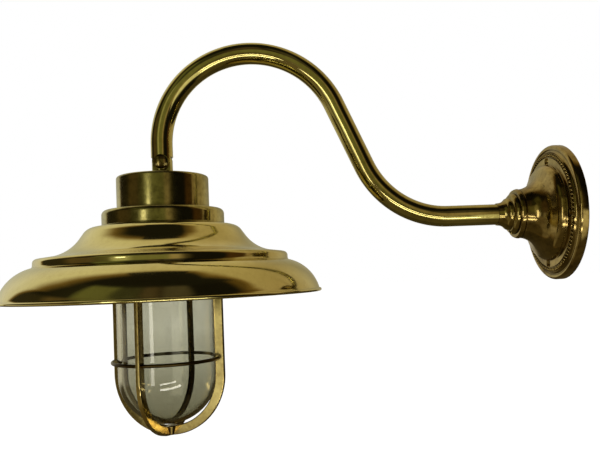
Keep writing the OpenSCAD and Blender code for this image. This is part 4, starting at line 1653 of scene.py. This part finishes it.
@dataclass
class Guard(Assembly):
    """The cast guard and its wire ring."""

    body = Body.GUARD
    turn: float = -19.0
    bar_in: float = 44.5
    bar_out: float = 52.5
    bar_w: float = 3.8
    bore_r: float = 47.3
    top: float = -64.7
    ledge_top: float = -85.8
    ledge_foot: float = -89.8
    dome_z: float = -185.5
    wire_z: float = -172.5
    wire_ring_r: float = 46.6
    wire_r: float = 1.5
    boss_r: float = 6.2
    root_taper: tuple[tuple[float, float], ...] = ((1.2, 0.90), (2.2, 0.92), (3.6, 0.95))

    def hoop(self) -> Mesh:
        """One hoop of two bars and the bend below, in the X-Z plane.

        Returns:
            The hoop's solid.
        """
        mesh = bmesh.new()
        half = self.bar_w / 2.0 / math.prod(share for _, share in self.root_taper)
        corners = [(self.bar_in, -half), (self.bar_out, -half), (self.bar_out, half), (self.bar_in, half)]
        mesh.faces.new([mesh.verts.new((x, y, self.ledge_foot + 0.6)) for x, y in corners])
        bmesh.ops.bevel(
            mesh, geom=mesh.verts[:], offset=0.75, offset_type="OFFSET", segments=3, profile=0.5,
            affect="VERTICES", clamp_overlap=True, material=-1)
        bmesh.ops.delete(mesh, geom=mesh.faces[:], context="FACES_ONLY")
        loop = mesh.edges[:]
        run = self.ledge_foot + 0.6 - sum(drop for drop, _ in self.root_taper) - self.dome_z
        straight = ((run / 4.0, 1.0),) * 4
        for drop, share in self.root_taper + straight:
            loop = self._step(mesh, loop, -drop, share)
        loop = spun(mesh, loop, (0.0, 0.0, self.dome_z), (0.0, 1.0, 0.0), math.pi, 72)
        for rise, share in straight + self.root_taper[::-1]:
            loop = self._step(mesh, loop, rise, 1.0 / share)
        return capped(mesh)

    @staticmethod
    def _step(mesh: Mesh, loop: Edges, rise: float, widen: float) -> Edges:
        """Extrudes a bar's loop upright and changes its width.

        Args:
            mesh: the mesh the loop is in.
            loop: the loop's edges.
            rise: how far it goes up.
            widen: the new width as a share of the old.

        Returns:
            The new loop.
        """
        fresh, loop = extruded(mesh, loop)
        bmesh.ops.translate(mesh, verts=fresh, vec=(0.0, 0.0, rise))
        bmesh.ops.scale(mesh, verts=fresh, vec=(1.0, widen, 1.0))
        return loop

    def build(self) -> None:
        """Makes the guard and the wire ring."""
        made = self.finishes
        root = self.bore_r + 0.55
        collar = (
            Outline(43.3, self.ledge_foot + 0.5).to(
                (43.8, self.ledge_foot), (self.bar_out - 0.9, self.ledge_foot))
            .arc((self.bar_out - 0.9, self.ledge_foot + 1.2), 1.2, -90.0, 0.0, 6)
            .to(
                (self.bar_out + 0.3, self.top - 6.2), (self.bar_out - 0.1, self.top - 5.7),
                (self.bar_out - 0.1, self.top - 5.0))
            .to((self.bar_out + 0.3, self.top - 4.5))
            .arc((self.bar_out - 0.7, self.top - 1.0), 1.0, 0.0, 90.0, 6)
            .to((root, self.top), (root, self.ledge_top), (43.3, self.ledge_top)).closed()
        ).lathe(168)
        ridge = thread_ridge(root, -0.5, 1.9, self.ledge_top + 3.4, 8.4)
        first = self.hoop()
        second = moved(self.hoop(), turned("Z", 90.0))
        bars = moved(gathered(first, second), turned("Z", self.turn))
        open_out = math.degrees(math.asin(self.boss_r / self.bar_out))
        open_in = math.degrees(math.asin(self.boss_r / self.bar_in))
        boss = (
            Outline(0.0, self.dome_z - self.bar_out + 0.02)
            .arc((0.0, self.dome_z), self.bar_out - 0.02, -90.0, -90.0 + 0.7 * open_out, 8)
            .arc((0.0, self.dome_z), self.bar_in + 0.6, -90.0 + open_in, -90.0, 8)
        ).lathe(48)
        sides = [
            e for e in boss.edges if all(math.hypot(v.co.x, v.co.y) > 0.65 * self.boss_r for v in e.verts)]
        round_off(boss, [e for e in sides if abs(e.verts[0].co.z - e.verts[1].co.z) < 0.01], 0.9, 4)
        self.put(
            "guard_cage_cast", gathered(collar, ridge, bars, boss), made.guard_brass, "cast_brass",
            "guard_cage", crease=40.0)
        ring = round_ring((self.wire_ring_r, self.wire_z), self.wire_r, 144)
        self.put("guard_wire_ring_bent", ring, made.brown_wire, "dark_brass", "guard_wire_ring", crease=60.0)


# Stage

OLIVE = (0.20, 0.195, 0.075)
BLACK = (0.009, 0.008, 0.005)
BROWN = (0.20, 0.125, 0.035)
WHITE = (1.0, 1.0, 1.0)


class Room(NodeTree):
    """The surroundings: a pale paper sweep behind the lamp and a dim room behind the camera.

    Azimuths run in degrees from +X towards +Y. Near the zenith, places are given by how far they lie
    to the side (towards +Y) and ahead (towards +X), in degrees from straight up.
    """

    def __init__(self) -> None:
        """Makes the world and reads the direction of each ray."""
        world = bpy.data.worlds.new("room")
        bpy.context.scene.world = world
        world.use_nodes = True
        super().__init__(world.node_tree)
        coords = self.add("ShaderNodeTexCoord")
        split = self.add("ShaderNodeSeparateXYZ")
        self.join(coords.outputs["Generated"], split.inputs[0])
        self.x, self.y, self.z = split.outputs
        self.around = self.sums("MULTIPLY_ADD", self.sums("ARCTAN2", self.y, self.x), 1.0 / FULL_TURN, 0.5)
        level_part = self.sums(
            "MAXIMUM", self.sums("SUBTRACT", 1.0, self.sums("MULTIPLY", self.z, self.z)), 1e-6)
        stretch = self.sums("DIVIDE", self.sums("ARCCOSINE", self.z), self.sums("SQRT", level_part))
        self.side, self.ahead = (
            self.sums(
                "MULTIPLY", self.sums("MULTIPLY", way, stretch),
                180.0 / math.pi) for way in (self.y, self.x))
        self.across = self.sums("MULTIPLY_ADD", self.side, 1.0 / SIDE_SPAN, 0.5)

    def compass(self, stops: Sequence[tuple[float, Colour]]) -> Socket:
        """A colour ramp round the horizon.

        Args:
            stops: pairs of an azimuth in degrees and the colour there.

        Returns:
            The colour's socket.
        """
        return self.ramp(self.around, [(degrees / 360.0 + 0.5, tone) for degrees, tone in stops])

    def edge(self, *stops: Point) -> Socket:
        """Where the dim room meets the sheet overhead.

        Args:
            stops: pairs of a place to the side and the edge's place ahead, in degrees.

        Returns:
            The edge's place ahead, in degrees.
        """
        grey = [(place / SIDE_SPAN + 0.5, ((where + 90.0) / 180.0,) * 3) for place, where in stops]
        return self.sums("MULTIPLY_ADD", self.ramp(self.across, grey), 180.0, -90.0)

    def dim(self) -> Socket:
        """The dim room, from the floor to overhead.

        Returns:
            The colour's socket.
        """
        level = self.compass([
            (-118.0, (0.03, 0.025, 0.015)), (-88.0, (0.035, 0.028, 0.013)), (-78.0, (0.11, 0.075, 0.03)),
            (-58.0, (0.10, 0.07, 0.03)), (-50.0, (0.08, 0.07, 0.025)), (-40.0, (0.12, 0.11, 0.04)),
            (-34.0, (0.44, 0.43, 0.22)), (-24.0, (0.44, 0.43, 0.22)), (-18.0, OLIVE), (10.0, OLIVE),
            (14.0, (0.40, 0.31, 0.16)), (20.0, (0.36, 0.28, 0.15)), (26.0, (0.08, 0.06, 0.025)),
            (34.0, BLACK), (62.0, BLACK), (68.0, (0.065, 0.03, 0.008)), (84.0, (0.06, 0.03, 0.008)),
            (87.0, (0.50, 0.38, 0.21)), (91.0, (0.42, 0.32, 0.17)), (95.0, (0.12, 0.07, 0.03)),
            (99.0, (0.50, 0.40, 0.24))])
        high = self.compass([
            (-107.0, BLACK), (-66.0, (0.02, 0.018, 0.010)), (-58.0, (0.13, 0.13, 0.045)),
            (-36.0, (0.13, 0.13, 0.048)), (-30.0, (0.045, 0.045, 0.02)), (-14.0, (0.05, 0.05, 0.025)),
            (-11.0, (0.03, 0.025, 0.012)), (-9.0, (0.085, 0.062, 0.034)), (2.0, (0.075, 0.055, 0.03)),
            (3.5, (0.03, 0.022, 0.012)), (6.0, (0.03, 0.022, 0.012)), (7.5, (0.08, 0.068, 0.042)),
            (24.0, (0.075, 0.062, 0.038)), (30.0, BLACK), (64.0, BLACK), (72.0, (0.10, 0.06, 0.015)),
            (85.0, (0.12, 0.075, 0.018))])
        low = self.compass([
            (-110.0, (0.55, 0.50, 0.38)), (-64.0, (0.30, 0.27, 0.17)), (-58.0, (0.10, 0.085, 0.045)),
            (-49.0, (0.10, 0.085, 0.045)), (-45.5, (1.0, 0.99, 0.82)), (-38.0, (1.0, 0.99, 0.82)),
            (-32.0, (0.30, 0.26, 0.14)), (0.0, (0.12, 0.10, 0.045)), (15.0, (0.11, 0.09, 0.04)),
            (20.0, (0.95, 0.90, 0.66)), (34.0, (0.95, 0.90, 0.66)), (
                40.0, (0.05, 0.04, 0.015)), (48.0, BLACK),
            (60.0, BLACK), (100.0, BLACK)])
        deep = self.compass([
            (-110.0, (0.30, 0.26, 0.16)), (-40.0, (0.18, 0.14, 0.07)), (8.0, (0.12, 0.09, 0.04)),
            (17.0, (0.85, 0.79, 0.56)), (38.0, (0.85, 0.79, 0.56)), (46.0, (0.05, 0.04, 0.02)),
            (60.0, BLACK)])
        front = self.blend(self.fade(self.z, -0.02, -0.07), level, low)
        front = self.blend(self.fade(self.z, -0.20, -0.30), front, deep)
        front = self.blend(self.fade(self.z, -0.62, -0.76), front, (0.11, 0.085, 0.038))
        front = self.blend(self.fade(self.z, 0.40, 0.50), front, high)
        return self.blend(self.fade(self.z, 0.76, 0.84), front, (0.012, 0.011, 0.007))

    def paper(self) -> Socket:
        """The pale sweep, golden overhead and dusky below the lamp.

        Returns:
            The colour's socket.
        """
        sheet = self.compass([
            (-180.0, (0.40, 0.38, 0.26)), (-155.0, (0.52, 0.50, 0.36)), (-132.0, (0.76, 0.73, 0.62)),
            (-112.0, (0.74, 0.70, 0.58)), (99.0, (0.46, 0.36, 0.20)), (112.0, (0.48, 0.38, 0.21)),
            (113.0, (0.20, 0.14, 0.07)), (115.0, (0.50, 0.40, 0.23)), (140.0, (0.54, 0.47, 0.31)),
            (160.0, (0.34, 0.30, 0.19)), (180.0, (0.38, 0.35, 0.23))])
        dusk = self.compass([
            (-180.0, (0.50, 0.46, 0.34)), (-112.0, (0.72, 0.66, 0.48)), (99.0, BLACK),
            (146.0, (0.02, 0.015, 0.008)), (156.0, (0.40, 0.35, 0.24)), (180.0, (0.50, 0.46, 0.34))])
        gold = self.ramp(self.across, [
            (0.20, (0.76, 0.73, 0.62)), (0.42, (0.72, 0.66, 0.46)), (0.52, (0.60, 0.51, 0.31)),
            (0.58, (0.48, 0.39, 0.21)), (0.75, (0.45, 0.36, 0.20))])
        paper = self.blend(self.fade(self.z, 0.30, 0.75), sheet, gold)
        below = self.blend(self.fade(self.z, -0.14, -0.26), dusk, (0.07, 0.055, 0.025))
        return self.blend(self.fade(self.z, 0.01, -0.04), paper, below)

    def build(self) -> None:
        """Joins both halves overhead, with a black hood between, and keeps the background white."""
        starts = self.edge(
            (-100.0, -70.0), (-80.0, -52.0), (-70.0, -46.0), (-63.0, -38.0), (-57.0, -28.0), (-45.0, -24.0),
            (-30.0, -20.0), (-17.0, -16.0), (10.0, -14.0), (20.0, -10.0), (30.0, -4.0), (40.0, 0.0),
            (48.0, 2.0), (58.0, 4.0), (75.0, 0.0), (92.0, -14.0), (104.0, -20.0))
        ends = self.edge(
            (-100.0, -58.0), (-80.0, -38.0), (-70.0, -32.0), (-63.0, -18.0), (-57.0, 5.0), (-45.0, 12.0),
            (-30.0, 9.0), (-17.0, 7.0), (10.0, 1.0), (20.0, 15.0), (30.0, 12.0), (40.0, 8.0), (48.0, 12.0),
            (58.0, 22.0), (75.0, 16.0), (92.0, -4.0), (104.0, -12.0))
        share = self.sums(
            "DIVIDE", self.sums("SUBTRACT", self.ahead, starts), self.sums("SUBTRACT", ends, starts))
        hood = self.sums("MULTIPLY", self.fade(self.side, -15.5, -13.5), self.fade(self.side, 9.0, 7.0))
        hood = self.sums("MULTIPLY", hood, self.fade(self.ahead, -9.0, -6.5))
        paper = self.blend(self.fade(share, 0.0, 0.6), self.paper(), BROWN)
        whole = self.blend(self.sums("MAXIMUM", self.fade(share, 0.35, 1.0), hood), paper, self.dim())
        path = self.add("ShaderNodeLightPath")
        unreflected = self.sums("LESS_THAN", path.outputs["Glossy Depth"], 0.5)
        through = self.sums("MULTIPLY", path.outputs["Is Transmission Ray"], unreflected)
        through = self.sums("MULTIPLY", through, self.fade(self.x, -0.45, -0.85))
        seen = self.blend(path.outputs["Is Camera Ray"], self.blend(through, whole, WHITE), WHITE)
        back = self.tree.nodes["Background"]
        self.join(seen, back.inputs["Color"])
        back.inputs["Strength"].default_value = 1.0


@dataclass(frozen=True)
class Lamp:
    """A rectangular lamp that faces the object, placed by azimuth and elevation in degrees."""

    name: str
    azimuth: float
    elevation: float
    away: float
    size: Point
    power: float
    slant: float = 0.0
    tone: Colour = (1.0, 0.96, 0.86)
    aimed_at: tuple[float, float, float] = (0.0, -0.30, -0.02)

    def build(self) -> None:
        """Makes the lamp and turns it to the object."""
        data = bpy.data.lights.new(self.name, "AREA")
        data.shape = "RECTANGLE"
        data.size, data.size_y = self.size
        data.energy = self.power
        data.color = self.tone
        made = bpy.data.objects.new(self.name, data)
        flat = math.radians(self.azimuth)
        lift = math.radians(self.elevation)
        aim = Vector((math.cos(flat) * math.cos(lift), math.sin(flat) * math.cos(lift), math.sin(lift)))
        made.location = Vector(self.aimed_at) + aim * self.away
        made.rotation_mode = "QUATERNION"
        slant = Quaternion(aim, math.radians(self.slant))
        made.rotation_quaternion = slant @ (-aim).to_track_quat("-Z", "Y")
        made.visible_camera = False
        bpy.context.scene.collection.objects.link(made)


@dataclass
class Studio:
    """Camera, floor and lamps: a tall window at the left and two slim tubes low in front."""

    eye: tuple[float, float, float] = (0.6018, -0.2669, -0.0472)
    yaw: float = -4.99
    pitch: float = 2.47
    roll: float = 2.40
    lens: float = 40.296
    shift: tuple[float, float] = (-0.0492, 0.0205)
    floor_z: float = -0.62
    lamps: tuple[Lamp, ...] = (
        Lamp("window", -29.0, -6.5, 2.2, (0.30, 1.05), 3.4),
        Lamp("upper_tube", 4.0, -18.0, 1.4, (0.86, 0.07), 1.3, 8.0),
        Lamp("lower_tube", 8.5, -31.0, 1.0, (0.80, 0.075), 1.4, 8.0),
    )

    def camera(self) -> None:
        """Puts the camera where the photograph was taken from."""
        data = bpy.data.cameras.new("camera")
        data.lens = self.lens
        data.sensor_width = 36.0
        data.shift_x, data.shift_y = self.shift
        data.clip_start = 0.01
        ahead, right, above = Vector((-1.0, 0.0, 0.0)), Vector((0.0, 1.0, 0.0)), Vector((0.0, 0.0, 1.0))
        turn = Matrix.Rotation(math.radians(self.yaw), 3, above)
        ahead, right = turn @ ahead, turn @ right
        turn = Matrix.Rotation(math.radians(self.pitch), 3, right)
        ahead, above = turn @ ahead, turn @ above
        turn = Matrix.Rotation(math.radians(self.roll), 3, ahead)
        right, above = turn @ right, turn @ above
        pose = Matrix((right, above, -ahead)).transposed().to_4x4()
        made = bpy.data.objects.new("camera", data)
        made.matrix_world = Matrix.Translation(self.eye) @ pose
        bpy.context.scene.collection.objects.link(made)
        bpy.context.scene.camera = made

    def floor(self) -> None:
        """A wide pale floor far below the lamp."""
        mesh = bmesh.new()
        bmesh.ops.create_grid(
            mesh, x_segments=2, y_segments=2, size=30.0, matrix=shifted(0.0, 0.0, self.floor_z))
        data = bpy.data.meshes.new("floor")
        mesh.to_mesh(data)
        mesh.free()
        made = bpy.data.objects.new("floor", data)
        bpy.context.scene.collection.objects.link(made)
        made.visible_glossy = False
        made.visible_transmission = False
        paper = Shader("floor_paper")
        paper.surface.inputs["Base Color"].default_value = (0.80, 0.79, 0.76, 1.0)
        paper.surface.inputs["Roughness"].default_value = 0.9
        glow = paper.add("ShaderNodeEmission")
        glow.inputs["Color"].default_value = (1.0, 1.0, 1.0, 1.0)
        glow.inputs["Strength"].default_value = 1.12
        path = paper.add("ShaderNodeLightPath")
        mix = paper.add("ShaderNodeMixShader")
        paper.join(paper.sums("MULTIPLY", path.outputs["Is Camera Ray"], 0.93), mix.inputs[0])
        paper.join(paper.surface.outputs[0], mix.inputs[1])
        paper.join(glow.outputs[0], mix.inputs[2])
        paper.join(mix.outputs[0], paper.tree.nodes["Material Output"].inputs["Surface"])
        data.materials.append(paper.material)

    def build(self) -> None:
        """Sets the whole stage."""
        bpy.context.scene.view_settings.view_transform = "Standard"
        self.camera()
        self.floor()
        Room().build()
        for lamp in self.lamps:
            lamp.build()


def dress_kept_nodes(frame: dict, finishes: Finishes) -> None:
    """Gives the CAD nodes that stay in view their finish.

    Args:
        finishes: the light's finishes.
    """
    kept = {
        "cap_gasket": finishes.rubber,
        "glass_gasket": finishes.rubber,
        "shade_washer": finishes.fibre,
        "holder_strap": finishes.steel,
        "centre_contact": finishes.contact_brass,
        "head_lead": finishes.sheath,
    }
    for name, finish in kept.items():
        node = frame["nodes"][name]
        node.data.materials.clear()
        node.data.materials.append(finish)


def main() -> None:
    """Builds the light on its frame."""
    logging.basicConfig(level=logging.INFO, format="%(name)s %(message)s")
    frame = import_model()
    Studio().build()
    finishes = Finishes()
    dress_kept_nodes(frame, finishes)
    for part in (
        SwanNeck(finishes), WallRose(finishes), Ferrule(finishes), Knuckle(finishes), Housing(finishes),
        SpunShade(finishes), Lampholder(finishes), GlassJar(finishes), Guard(finishes),
    ):
        part.build()


if __name__ == "__main__":
    main()
